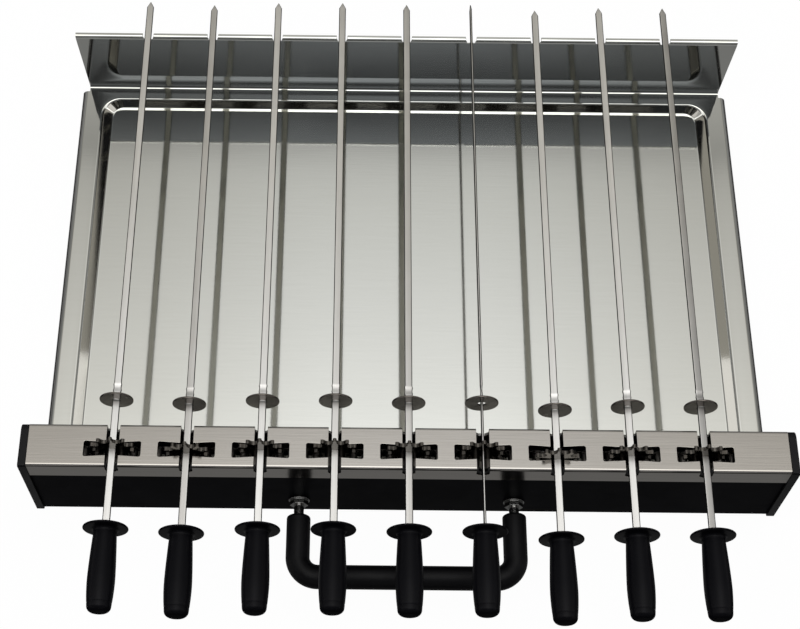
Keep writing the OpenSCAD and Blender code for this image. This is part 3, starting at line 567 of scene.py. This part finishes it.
def repeat_at_stations(first, name):
    """Copies a cutter that is drawn at x = 0 to every skewer and joins the copies."""
    copies = []
    for k in SKEWERS:
        low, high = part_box(f"star_wheel_{k}")
        middle = (low.x + high.x) / 2
        copies.append(another(first, f"{name}_{k}", Matrix.Translation((middle, 0, 0))))
    bpy.data.objects.remove(first)
    put_down()
    for copy in copies:
        copy.select_set(True)
    bpy.context.view_layer.objects.active = copies[0]
    bpy.ops.object.join()
    return copies[0]


def cut(piece, tool):
    """Takes a cutter away from a piece and throws the cutter away."""
    finish_with(piece, "BOOLEAN", object=tool, operation="DIFFERENCE", solver="EXACT")
    bpy.data.objects.remove(tool)
    return piece


slot_outline = [(-SLOT / 2, TOP + CUT_ABOVE), (-SLOT / 2, SLOT_FLOOR + CHAMFER),
                (-SLOT / 2 + CHAMFER, SLOT_FLOOR), (SLOT / 2 - CHAMFER, SLOT_FLOOR),
                (SLOT / 2, SLOT_FLOOR + CHAMFER), (SLOT / 2, TOP + CUT_ABOVE)]
slots = cutter("slot_cutter", [at(x, -OVERRUN, z) for x, z in slot_outline],
               (0, (DEPTH + 2 * OVERRUN) * MM, 0))
cut(cover, repeat_at_stations(slots, "slot"))

OPENING_HALF = 22.1
END_HALF = 6.45
WAIST_HALF = 5.1
CORNER = 1.5
OPENING_Y = 14.75
lean = math.degrees(math.atan2(END_HALF - WAIST_HALF, OPENING_HALF))
cx, cy = OPENING_HALF - CORNER, END_HALF - CORNER
waisted = (arc((cx, cy), CORNER, 0, 90 + lean, 5) + [(0, WAIST_HALF)]
           + arc((-cx, cy), CORNER, 90 - lean, 180, 5) + arc((-cx, -cy), CORNER, 180, 270 + lean, 5)
           + [(0, -WAIST_HALF)] + arc((cx, -cy), CORNER, 270 - lean, 360, 5))
openings = cutter("opening_cutter", [at(x, OPENING_Y + y, TOP - CUT_ABOVE) for x, y in waisted],
                  (0, 0, 2 * CUT_ABOVE * MM))
cut(cover, repeat_at_stations(openings, "opening"))
soften_edges(cover, 0.2, 2, 40)
shade(cover, 25)
hand_over(cover, cover_steel, "cover_steel", "drawer", "top_cover")
print("cover cut:", len(cover.data.polygons), "faces")

# %% [markdown]
# ## The drip tray
# The tray is pressed and folded from one bright sheet. Its recess has a rounded rim and floor
# edge, which catch a double line of light all round, so the wall is modelled as a chain of insets
# that follow the real curve. The sides fold down, the back strip folds up into the plate that
# holds the skewers' ends, and the plate's top folds back.

# %% Rim outline and recess
RIM_Z = 14.2
TRAY_SHEET = 0.8
SIDE_HALF, SIDE_FOLD = 296.6, 5.6
PLATE_HALF = 290.0
RIM_FRONT, RIM_REAR = 36.8, 403.7
PLATE_Y = 408.7
RECESS = {"half": 276.2, "front": 52.4, "rear": 394.2, "depth": 8.9, "slope_x": 7.5,
          "slope_y": 1.8, "corner": 16.0}
WALL_ROUND, FOOT_ROUND = 3.6, 2.2
BEAD, BEAD_HIGH = 3.5, 0.2

flat_half = SIDE_HALF - SIDE_FOLD
outline = [(-flat_half, RIM_FRONT), (-PLATE_HALF, RIM_FRONT), (PLATE_HALF, RIM_FRONT),
           (flat_half, RIM_FRONT), (flat_half, RIM_REAR), (PLATE_HALF, RIM_REAR),
           (-PLATE_HALF, RIM_REAR), (-flat_half, RIM_REAR), (-flat_half, RIM_FRONT)]
tray = draw_line("drip_tray", [at(x, y, RIM_Z) for x, y in outline])

recess_mid = (RECESS["front"] + RECESS["rear"]) / 2
recess_half_y = (RECESS["rear"] - RECESS["front"]) / 2
wall_tilt = math.atan2(RECESS["depth"], RECESS["slope_x"])
reach = WALL_ROUND * math.tan(wall_tilt / 2)
foot_reach = FOOT_ROUND * math.tan(wall_tilt / 2)
corner = RECESS["corner"] + reach + BEAD
hx, hy = RECESS["half"] - RECESS["corner"], recess_half_y - RECESS["corner"]
ring = []
for sx, sy, start in ((1, 1, 0), (-1, 1, 90), (-1, -1, 180), (1, -1, 270)):
    ring += arc((sx * hx, sy * hy), corner, start, start + 90, 12)
pan = draw_line("recess", [at(x, recess_mid + y, RIM_Z) for x, y in ring + ring[:1]])
take_up(tray)
pan.select_set(True)
bpy.ops.object.join()
merge_and_orient(tray)
pick(tray, "EDGE", lambda a, b: True)
bpy.ops.mesh.fill(use_beauty=True)
put_down()
print("rim filled:", len(tray.data.polygons), "faces round", len(ring), "points of the recess")


# %% Press the recess
CURVE_STEPS = 6
SLACK = 0.2


def wall_curve():
    """(inward, depth) from the low bead at the rim down the wall to the round at the floor."""
    wide, deep = RECESS["slope_x"], RECESS["depth"]
    angles = [wall_tilt * i / CURVE_STEPS for i in range(CURVE_STEPS + 1)]
    rim = [(-reach + WALL_ROUND * math.sin(a),
            WALL_ROUND * (1 - math.cos(a)) - BEAD_HIGH * (1 - a / wall_tilt)) for a in angles]
    foot = [(wide + foot_reach - FOOT_ROUND * math.sin(a), deep - FOOT_ROUND * (1 - math.cos(a)))
            for a in reversed(angles)]
    return rim + foot


def in_recess(place):
    """True for a point on the recess's outline or inside it."""
    margin = reach + BEAD + SLACK
    return (abs(place.x) < (RECESS["half"] + margin) * MM
            and abs(place.y - at(0, recess_mid, 0).y) < (recess_half_y + margin) * MM)


pick(tray, "EDGE", lambda a, b: in_recess(a) and in_recess(b))
bpy.ops.mesh.edge_face_add()
centre = at(0, recess_mid, RIM_Z)
before_x, before_y, before_z = RECESS["half"] + reach + BEAD, recess_half_y + reach + BEAD, 0.0
for inward, depth in wall_curve():
    want_x = RECESS["half"] - inward
    share = (inward + reach) / (RECESS["slope_x"] + reach + foot_reach)
    want_y = recess_half_y + reach - share * (RECESS["slope_y"] + reach + foot_reach)
    thickness = (before_x - want_x + before_y - want_y) / 2
    bpy.ops.mesh.inset(thickness=thickness * MM, depth=0.0)
    now_x, now_y = before_x - thickness, before_y - thickness
    bpy.ops.transform.resize(value=(want_x / now_x, want_y / now_y, 1), center_override=centre)
    bpy.ops.transform.translate(value=(0, 0, -(depth - before_z) * MM))
    before_x, before_y, before_z = want_x, want_y, depth
put_down()
print("recess pressed to", RECESS["depth"], "mm:", len(tray.data.vertices), "points")


# %% Fold the sides, the back plate and the front flange
NEAR = 1e-5
FOLD_STEPS, QUARTER = 6, math.pi / 2
INNER_FOLD = 1.6
PLATE_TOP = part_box("tray")[1].z / MM
TOP_FOLD, TOP_FLANGE = 2.0, 4.0
FLARE = 2.8
CREASE, CREASE_RISE, CREASE_OUT = 1.8, 0.8, 0.6
FLANGE_HEIGHT = 20.0


def on_edge(y, half):
    """A test for the edges of the rim at one y, within half of the middle."""
    level = at(0, y, RIM_Z)
    return lambda a, b: all(abs(p.y - level.y) < NEAR and abs(p.z - level.z) < NEAR
                            and abs(p.x) < (half + 0.1) * MM for p in (a, b))


def on_side(x):
    """A test for the edges of the rim at one x."""
    return lambda a, b: all(abs(p.x - x * MM) < NEAR and p.z > (RIM_Z - 0.1) * MM
                            for p in (a, b))


for side in (-1, 1):
    pick(tray, "EDGE", on_side(side * flat_half))
    turn_out(FOLD_STEPS, QUARTER, at(side * flat_half, 0, RIM_Z - SIDE_FOLD), (0, side, 0))
    pull((0, 0, -(RIM_Z - SIDE_FOLD) * MM))

pick(tray, "EDGE", on_edge(RIM_REAR, PLATE_HALF))
pull((0, (PLATE_Y - INNER_FOLD - RIM_REAR) * MM, 0))
turn_out(FOLD_STEPS, QUARTER, at(0, PLATE_Y - INNER_FOLD, RIM_Z + INNER_FOLD), (1, 0, 0))
pull((0, 0, (PLATE_TOP - TOP_FOLD - CREASE - RIM_Z - INNER_FOLD) * MM))
bpy.ops.transform.resize(value=(1 + FLARE / PLATE_HALF, 1, 1),
                         center_override=at(0, PLATE_Y, PLATE_TOP))
pull((0, CREASE_OUT * MM, CREASE_RISE * MM))
pull((0, -CREASE_OUT * MM, (CREASE - CREASE_RISE) * MM))
turn_out(FOLD_STEPS, QUARTER, at(0, PLATE_Y + TOP_FOLD, PLATE_TOP - TOP_FOLD), (-1, 0, 0))
pull((0, (TOP_FLANGE - TOP_FOLD) * MM, 0))

pick(tray, "EDGE", on_edge(RIM_FRONT, PLATE_HALF))
turn_out(FOLD_STEPS, QUARTER, at(0, RIM_FRONT, RIM_Z + INNER_FOLD), (-1, 0, 0))
pull((0, 0, (FLANGE_HEIGHT - INNER_FOLD) * MM))
merge_and_orient(tray)
floor_face = max(tray.data.polygons, key=lambda face: face.area)
if floor_face.normal.z < 0:
    pick(tray, "FACE", lambda centre, normal: True)
    bpy.ops.mesh.flip_normals()
finish_with(tray, "SOLIDIFY", thickness=TRAY_SHEET * MM, offset=-1.0, use_even_offset=True)
print("tray folded:", [round(v / MM, 1) for v in (*tray.bound_box[0], *tray.bound_box[6])])

# %% Cut the notches that hold the skewers' ends
NOTCH_MOUTH, NOTCH_BOTTOM, NOTCH_LIP = 5.0, 3.5, 0.7
NOTCH_FLOOR = 85.59
notch = [(-NOTCH_MOUTH - NOTCH_LIP, PLATE_TOP + OVERRUN), (-NOTCH_MOUTH, PLATE_TOP),
         (-NOTCH_BOTTOM, NOTCH_FLOOR), (NOTCH_BOTTOM, NOTCH_FLOOR), (NOTCH_MOUTH, PLATE_TOP),
         (NOTCH_MOUTH + NOTCH_LIP, PLATE_TOP + OVERRUN)]
notches = cutter("notch_cutter", [at(x, PLATE_Y - 3, z) for x, z in notch], (0, 14 * MM, 0))
cut(tray, repeat_at_stations(notches, "notch"))
soften_edges(tray, 0.12, 1, 50)
shade(tray, 25)
hand_over(tray, tray_steel, "tray_steel", "drawer", "tray")
print("tray:", len(tray.data.polygons), "faces")

# %% [markdown]
# ## The skewers
# Each skewer is a flat bar of 6 by 2 mm with a ground point, two crimped ears that stop the loose
# washer, and a moulded grip. The bar is a box with rounded long edges that is cut across at the
# ears and squeezed there, and drawn out to its point. The grip is turned, so its outline is drawn
# once and spun.

# %% Model one flat bar
WHEEL_Y = 16.5
AXIS_Z = 89.0
SHIFTS = {1: 0, 2: -3.1, 3: 0.1, 4: 0.9, 5: -0.4, 6: 0.3, 7: -5.2, 8: -1.6, 9: -1.2}
TURNS = {1: 2, 2: -7, 3: 4, 4: 7, 5: 9, 6: 90, 7: -6, 8: -8, 9: 11}
BLADE_W, BLADE_T = 6.0, 2.0
BLADE_ROUND = 0.85
EARS_BACK = 51.0
EAR_CUTS = [(-4.2, 1.0, 1.0), (-2.6, 1.14, 0.84), (-0.9, 1.02, 0.7), (0.9, 1.02, 0.7),
            (2.6, 1.14, 0.84), (4.2, 1.0, 1.0)]
POINT, TIP = 6.0, 0.6
POINT_END, TIP_END = (0.16, 1, 0.45), (0.3, 1, 0.6)
tang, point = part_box("blade_5")
tip_y, tang_y = point.y, tang.y
shoulder_y = tip_y - POINT * MM
ears_y = at(0, WHEEL_Y + SHIFTS[5] + EARS_BACK, 0).y
put_down()
bpy.ops.mesh.primitive_cube_add(size=1, location=(0, (tang_y + shoulder_y) / 2, 0),
                                scale=(BLADE_W * MM, shoulder_y - tang_y, BLADE_T * MM))
flat_bar = settle(bpy.context.object)
flat_bar.name = "flat_bar"
pick(flat_bar, "EDGE", lambda a, b: abs(a.y - b.y) > 0.1)
bpy.ops.mesh.bevel(offset=BLADE_ROUND * MM, segments=3, affect="EDGES")
for offset, _, _ in EAR_CUTS:
    pick(flat_bar, "FACE", lambda centre, normal: True)
    bpy.ops.mesh.bisect(plane_co=(0, ears_y + offset * MM, 0), plane_no=(0, 1, 0))
for offset, wide, thick in EAR_CUTS:
    y = ears_y + offset * MM
    pick(flat_bar, "VERT", lambda p: abs(p.y - y) < NEAR)
    bpy.ops.transform.resize(value=(wide, 1, thick), center_override=(0, y, 0))
pick(flat_bar, "FACE", lambda centre, normal: normal.y > 0.9)
pull((0, (POINT - TIP) * MM, 0))
bpy.ops.transform.resize(value=POINT_END, center_override=(0, tip_y - TIP * MM, 0))
pull((0, TIP * MM, 0))
bpy.ops.transform.resize(value=TIP_END, center_override=(0, tip_y, 0))
merge_and_orient(flat_bar)
shade(flat_bar, 35)
print("flat bar:", len(flat_bar.data.polygons), "faces")

# %% Model one grip
GUARD_Y = WHEEL_Y + SHIFTS[5] - 66.0
GUARD_R, GUARD_T, GUARD_ROUND = 17.3, 2.0, 0.9
GRIP_LENGTH, END_R, END_ROUND = 65.0, 9.2, 4.6
grip_outline = ([(0, GUARD_T / 2), (15.2, GUARD_T / 2)]
                + arc((GUARD_R - GUARD_ROUND, GUARD_T / 2 - GUARD_ROUND), GUARD_ROUND, 90, -90, 6)
                + [(12.0, -GUARD_T / 2 + 0.15)]
                + arc((11.2, -GUARD_T / 2 - 2.2), 2.35, 90, 180, 6))
barrel = [(8.85, -4.5), (9.1, -8), (9.45, -14), (9.85, -22), (10.2, -30), (10.42, -37),
          (10.45, -42), (10.3, -47), (10.0, -52), (9.65, -56), (9.5, -57.3), (9.22, -57.7),
          (9.22, -58.1), (9.4, -58.5), (END_R, -60.2)]
grip_outline += barrel + arc((END_R - END_ROUND, -GRIP_LENGTH + END_ROUND), END_ROUND, 0, -90, 8)
grip_outline += [(0, -GRIP_LENGTH)]
grip = draw_line("hand_grip", [Vector((radius * MM, at(0, GUARD_Y + along, 0).y, 0))
                               for radius, along in grip_outline])
bpy.ops.mesh.select_all(action="SELECT")
turn_out(56, 2 * math.pi, (0, 0, 0), (0, 1, 0))
merge_and_orient(grip)
shade(grip, 40)
print("grip:", len(grip.data.polygons), "faces")

# %% Lay the skewers in
for k in SKEWERS:
    low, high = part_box(f"star_wheel_{k}")
    place = Vector(((low.x + high.x) / 2, (SHIFTS[k] - SHIFTS[5]) * MM, AXIS_Z * MM))
    lay = Matrix.Translation(place) @ Matrix.Rotation(math.radians(TURNS[k]), 4, "Y")
    bar = another(flat_bar, f"flat_bar_{k}", lay)
    hand_over(bar, skewer_steel, "skewer_steel", f"skewer_{k}", f"blade_{k}")
    hold = another(grip, f"hand_grip_{k}", Matrix.Translation(place))
    hand_over(hold, grip_plastic, "grip_plastic", f"skewer_{k}", f"grip_{k}")
bpy.data.objects.remove(flat_bar)
bpy.data.objects.remove(grip)
print("skewers laid in:", len(SKEWERS))

# %% [markdown]
# ## The pull handle
# A bent rod carries a thick black sleeve. The sleeve starts as a ring at one leg and is pulled
# and spun along the rod, the way a tube is bent, then gets its wall and rounded ends.

# %% Sleeve of the pull handle
LEG_X, HANDLE_Z, HANDLE_OUT, BEND_R = 86.0, 24.0, 64.0, 16.0
SLEEVE_R, BORE_R = 9.5, 4.1
LEFT_START, RIGHT_START = 14.0, 11.5
put_down()
bpy.ops.mesh.primitive_circle_add(vertices=48, radius=SLEEVE_R * MM,
                                  location=at(-LEG_X, -LEFT_START, HANDLE_Z),
                                  rotation=(math.pi / 2, 0, 0))
sleeve = settle(bpy.context.object)
sleeve.name = "handle_sleeve_dressed"
bpy.ops.object.mode_set(mode="EDIT")
bpy.ops.mesh.select_all(action="SELECT")
pull((0, -(HANDLE_OUT - BEND_R - LEFT_START) * MM, 0))
turn_out(16, math.pi / 2, at(-LEG_X + BEND_R, -HANDLE_OUT + BEND_R, HANDLE_Z), (0, 0, 1))
pull((2 * (LEG_X - BEND_R) * MM, 0, 0))
turn_out(16, math.pi / 2, at(LEG_X - BEND_R, -HANDLE_OUT + BEND_R, HANDLE_Z), (0, 0, 1))
pull((0, (HANDLE_OUT - BEND_R - RIGHT_START) * MM, 0))
merge_and_orient(sleeve)
finish_with(sleeve, "SOLIDIFY", thickness=(SLEEVE_R - BORE_R) * MM, offset=-1.0)
soften_edges(sleeve, 2.2, 4, 60)
shade(sleeve, 45)
hand_over(sleeve, handle_rubber, "handle_rubber", "drawer", "handle_sleeve")
print("sleeve:", len(sleeve.data.polygons), "faces")

# %% [markdown]
# ## Floor, light and camera
# The drawer stands on a plain pale floor, and the camera sees floor and surround as white. Dull
# pieces are lit by two soft lamps and a plain world. Polished steel shows what it mirrors, so
# mirrored rays see a photographer's surround instead: a wide soft field overhead that fades
# towards the sides and the dark front, and a floor that is dark beyond the drawer. All the long
# highlights on the sheets and their folds come from it.

# %% Floor
FLOOR_WHITE, FLOOR_NEAR, FLOOR_FAR = 1.02, 0.25, 0.03
SHADOW_SHARE = 0.05
put_down()
bpy.ops.mesh.primitive_plane_add(size=16, location=(0, 0, 0))
floor = settle(bpy.context.object)
floor.name = "floor"
paper, tree, shader = new_finish("pale_floor", Base_Color=(0.9, 0.9, 0.9, 1), Roughness=0.9)
rays = node(tree, "ShaderNodeLightPath").outputs
seen = maths(tree, "MAXIMUM", rays["Is Camera Ray"], rays["Is Transmission Ray"])
lit = maths(tree, "MAXIMUM", maths(tree, "MULTIPLY", seen, 1 - SHADOW_SHARE),
            rays["Is Glossy Ray"])
place = coordinates(tree)
ahead = remap(tree, place["Y"], -0.14, -0.09, FLOOR_FAR, FLOOR_NEAR)
aside = maths(tree, "ABSOLUTE", place["X"])
beside = remap(tree, aside, 0.31, 0.36, FLOOR_NEAR, FLOOR_FAR)
strength = node(tree, "ShaderNodeMix", data_type="FLOAT", sockets={
    "Factor": rays["Is Glossy Ray"], "A": FLOOR_WHITE,
    "B": maths(tree, "MINIMUM", ahead, beside)}).outputs["Result"]
glow = node(tree, "ShaderNodeEmission", sockets={"Color": (1, 1, 1, 1), "Strength": strength})
surface = node(tree, "ShaderNodeMixShader", sockets={
    0: lit, 1: shader.outputs[0], 2: glow.outputs[0]})
tree.links.new(surface.outputs[0], tree.nodes["Material Output"].inputs["Surface"])
floor.data.materials.append(paper)
print("floor laid:", floor.name)


# %% World
def ramp(tree, value, stops):
    """A colour ramp through (place, colour) stops."""
    made = node(tree, "ShaderNodeValToRGB", sockets={0: value})
    elements = made.color_ramp.elements
    elements[0].position, elements[0].color = stops[0][0], (*stops[0][1], 1)
    elements[1].position, elements[1].color = stops[-1][0], (*stops[-1][1], 1)
    for place, colour in stops[1:-1]:
        elements.new(place).color = (*colour, 1)
    return made.outputs["Color"]


def vectors(tree, operation, first, second, socket=1):
    """One step of arithmetic with colours; a plain factor goes in at the socket "Scale"."""
    return node(tree, "ShaderNodeVectorMath", operation=operation,
                sockets={0: first, socket: second}).outputs[0]


# Levels of the overhead field by degrees from the horizon behind, over the top, to the front
COOL, PLAIN, WARM = (0.93, 0.98, 1.10), (1, 1, 1), (1.0, 1.0, 0.985)
OVERHEAD = [
    (0, 0.10, WARM), (35, 0.14, WARM), (48, 0.60, WARM), (54.5, 0.66, WARM), (56.2, 0.48, WARM),
    (56.5, 0.52, WARM), (56.75, 0.67, WARM), (57.2, 0.755, WARM), (58.3, 0.82, WARM),
    (61.8, 1.0, PLAIN), (65.3, 1.18, PLAIN), (68, 1.4, PLAIN), (72, 2.1, PLAIN),
    (78, 3.2, PLAIN), (95, 3.8, PLAIN), (108, 3.2, PLAIN), (116, 2.0, PLAIN), (120, 1.1, COOL),
    (122.3, 0.55, COOL), (123.9, 0.25, COOL), (124.6, 0.10, COOL), (124.9, 0.07, COOL),
    (125.3, 0.04, COOL), (126.1, 0.04, COOL), (126.6, 0.15, COOL), (127, 0.31, COOL),
    (128, 0.31, COOL), (132, 0.20, COOL), (150, 0.04, COOL), (180, 0.03, COOL)]
# How the field fades to the sides, by the sideways part of the direction
SIDEWAYS = [(0.0, (1, 1, 1)), (0.05, (1, 1, 1)), (0.17, (0.83, 0.82, 0.80)),
            (0.35, (0.70, 0.68, 0.65)), (0.5, (0.45, 0.43, 0.41)), (0.62, (0.12, 0.11, 0.11)),
            (1.0, (0.05, 0.05, 0.05))]
# The low sky, which only a first mirror image sees, from 0 at the horizon behind to 1 in front
LOW_SKY = [(0.0, (1, 1, 1)), (0.19, (1, 1, 1)), (0.27, (0, 0, 0)), (0.72, (0, 0, 0)),
           (0.8, (0.6, 0.6, 0.6)), (1.0, (0.8, 0.8, 0.8))]
RAMP_TOP = 4.0
MIDDLE = 0.03
FIRST_IMAGE = 0.42
PLAIN_LEVEL = 0.42
SIDE_GLOW, GLOW_TINT = 0.6, (1.0, 0.94, 0.88)

world = bpy.data.worlds.new("studio")
bpy.context.scene.world = world
world.use_nodes = True
sky = world.node_tree
rays = node(sky, "ShaderNodeLightPath").outputs
seen = maths(sky, "MAXIMUM", rays["Is Camera Ray"], rays["Is Transmission Ray"])
plain = sky.nodes["Background"]
plain.inputs["Color"].default_value = (1, 1, 1, 1)
sky.links.new(remap(sky, seen, 0, 1, PLAIN_LEVEL, 1.0), plain.inputs["Strength"])

way = coordinates(sky, "Generated")
turn = maths(sky, "DIVIDE", maths(sky, "ARCTAN2", way["Z"], way["Y"]), math.pi)
aside = maths(sky, "ABSOLUTE", maths(sky, "SUBTRACT", way["X"], MIDDLE))
first = remap(sky, rays["Glossy Depth"], 1.4, 1.6, FIRST_IMAGE, 0.0)
field = ramp(sky, turn, [(degrees / 180, tuple(level / RAMP_TOP * part for part in tone))
                         for degrees, level, tone in OVERHEAD])
kept = vectors(sky, "MAXIMUM", ramp(sky, aside, SIDEWAYS), first)
field = vectors(sky, "SCALE", vectors(sky, "MULTIPLY", field, kept), RAMP_TOP, "Scale")
wide = remap(sky, aside, 0.70, 0.85, 0.0, SIDE_GLOW, "SMOOTHSTEP")
low = remap(sky, way["Z"], 0.10, 0.24, 1.0, 0.0, "SMOOTHSTEP")
side_glow = vectors(sky, "SCALE", GLOW_TINT, maths(sky, "MULTIPLY", wide, low), "Scale")
low_sky = vectors(sky, "SCALE", ramp(sky, turn, LOW_SKY), first, "Scale")
around = vectors(sky, "ADD", vectors(sky, "ADD", field, side_glow), low_sky)
mirrored = node(sky, "ShaderNodeBackground", sockets={"Color": around, "Strength": 1.0})
both = node(sky, "ShaderNodeMixShader", sockets={
    0: rays["Is Glossy Ray"], 1: plain.outputs[0], 2: mirrored.outputs[0]})
sky.links.new(both.outputs[0], sky.nodes["World Output"].inputs["Surface"])
print("world:", len(sky.nodes), "nodes")


# %% Lamps
def lamp(name, place, aim, size, power):
    """A soft rectangular lamp that looks at a point."""
    data = bpy.data.lights.new(name, "AREA")
    data.shape = "RECTANGLE"
    data.size, data.size_y = size
    data.energy = power
    light = bpy.data.objects.new(name, data)
    bpy.context.collection.objects.link(light)
    light.location = place
    light.rotation_euler = (Vector(aim) - Vector(place)).to_track_quat("-Z", "Y").to_euler()
    light.visible_glossy = False
    return light


lamp("left_softbox", (-1.7, -0.5, 2.1), (0, 0.1, 0), (1.6, 1.6), 15)
lamp("right_softbox", (1.8, 0.9, 1.9), (0, 0.1, 0), (1.4, 1.4), 10)

# %% Camera at the photograph's viewing angle
PHOTO_WIDE, SENSOR = 800, 36
FOCAL, MIDDLE_SHIFT = 1621.7, 37
PITCH, YAW, ROLL = (math.radians(v) for v in (62.31, 0.27, 0.84))
EYE = (-0.03924, -0.4898, 1.2452)
forward = Vector((math.sin(YAW) * math.cos(PITCH), math.cos(YAW) * math.cos(PITCH),
                  -math.sin(PITCH)))
right = Vector((math.cos(YAW), -math.sin(YAW), 0))
up = right.cross(forward)
rolled_right = math.cos(ROLL) * right + math.sin(ROLL) * up
rolled_up = -math.sin(ROLL) * right + math.cos(ROLL) * up
stance = Matrix((rolled_right, rolled_up, -forward)).transposed()
camera_data = bpy.data.cameras.new("photo_camera")
camera = bpy.data.objects.new("photo_camera", camera_data)
bpy.context.collection.objects.link(camera)
camera.matrix_world = Matrix.Translation(EYE) @ stance.to_4x4()
camera_data.sensor_width = SENSOR
camera_data.lens = SENSOR * FOCAL / PHOTO_WIDE
camera_data.shift_x = MIDDLE_SHIFT / PHOTO_WIDE
bpy.context.scene.camera = camera
bpy.context.scene.view_settings.view_transform = "Standard"
print("camera lens", round(camera_data.lens, 2), "mm")
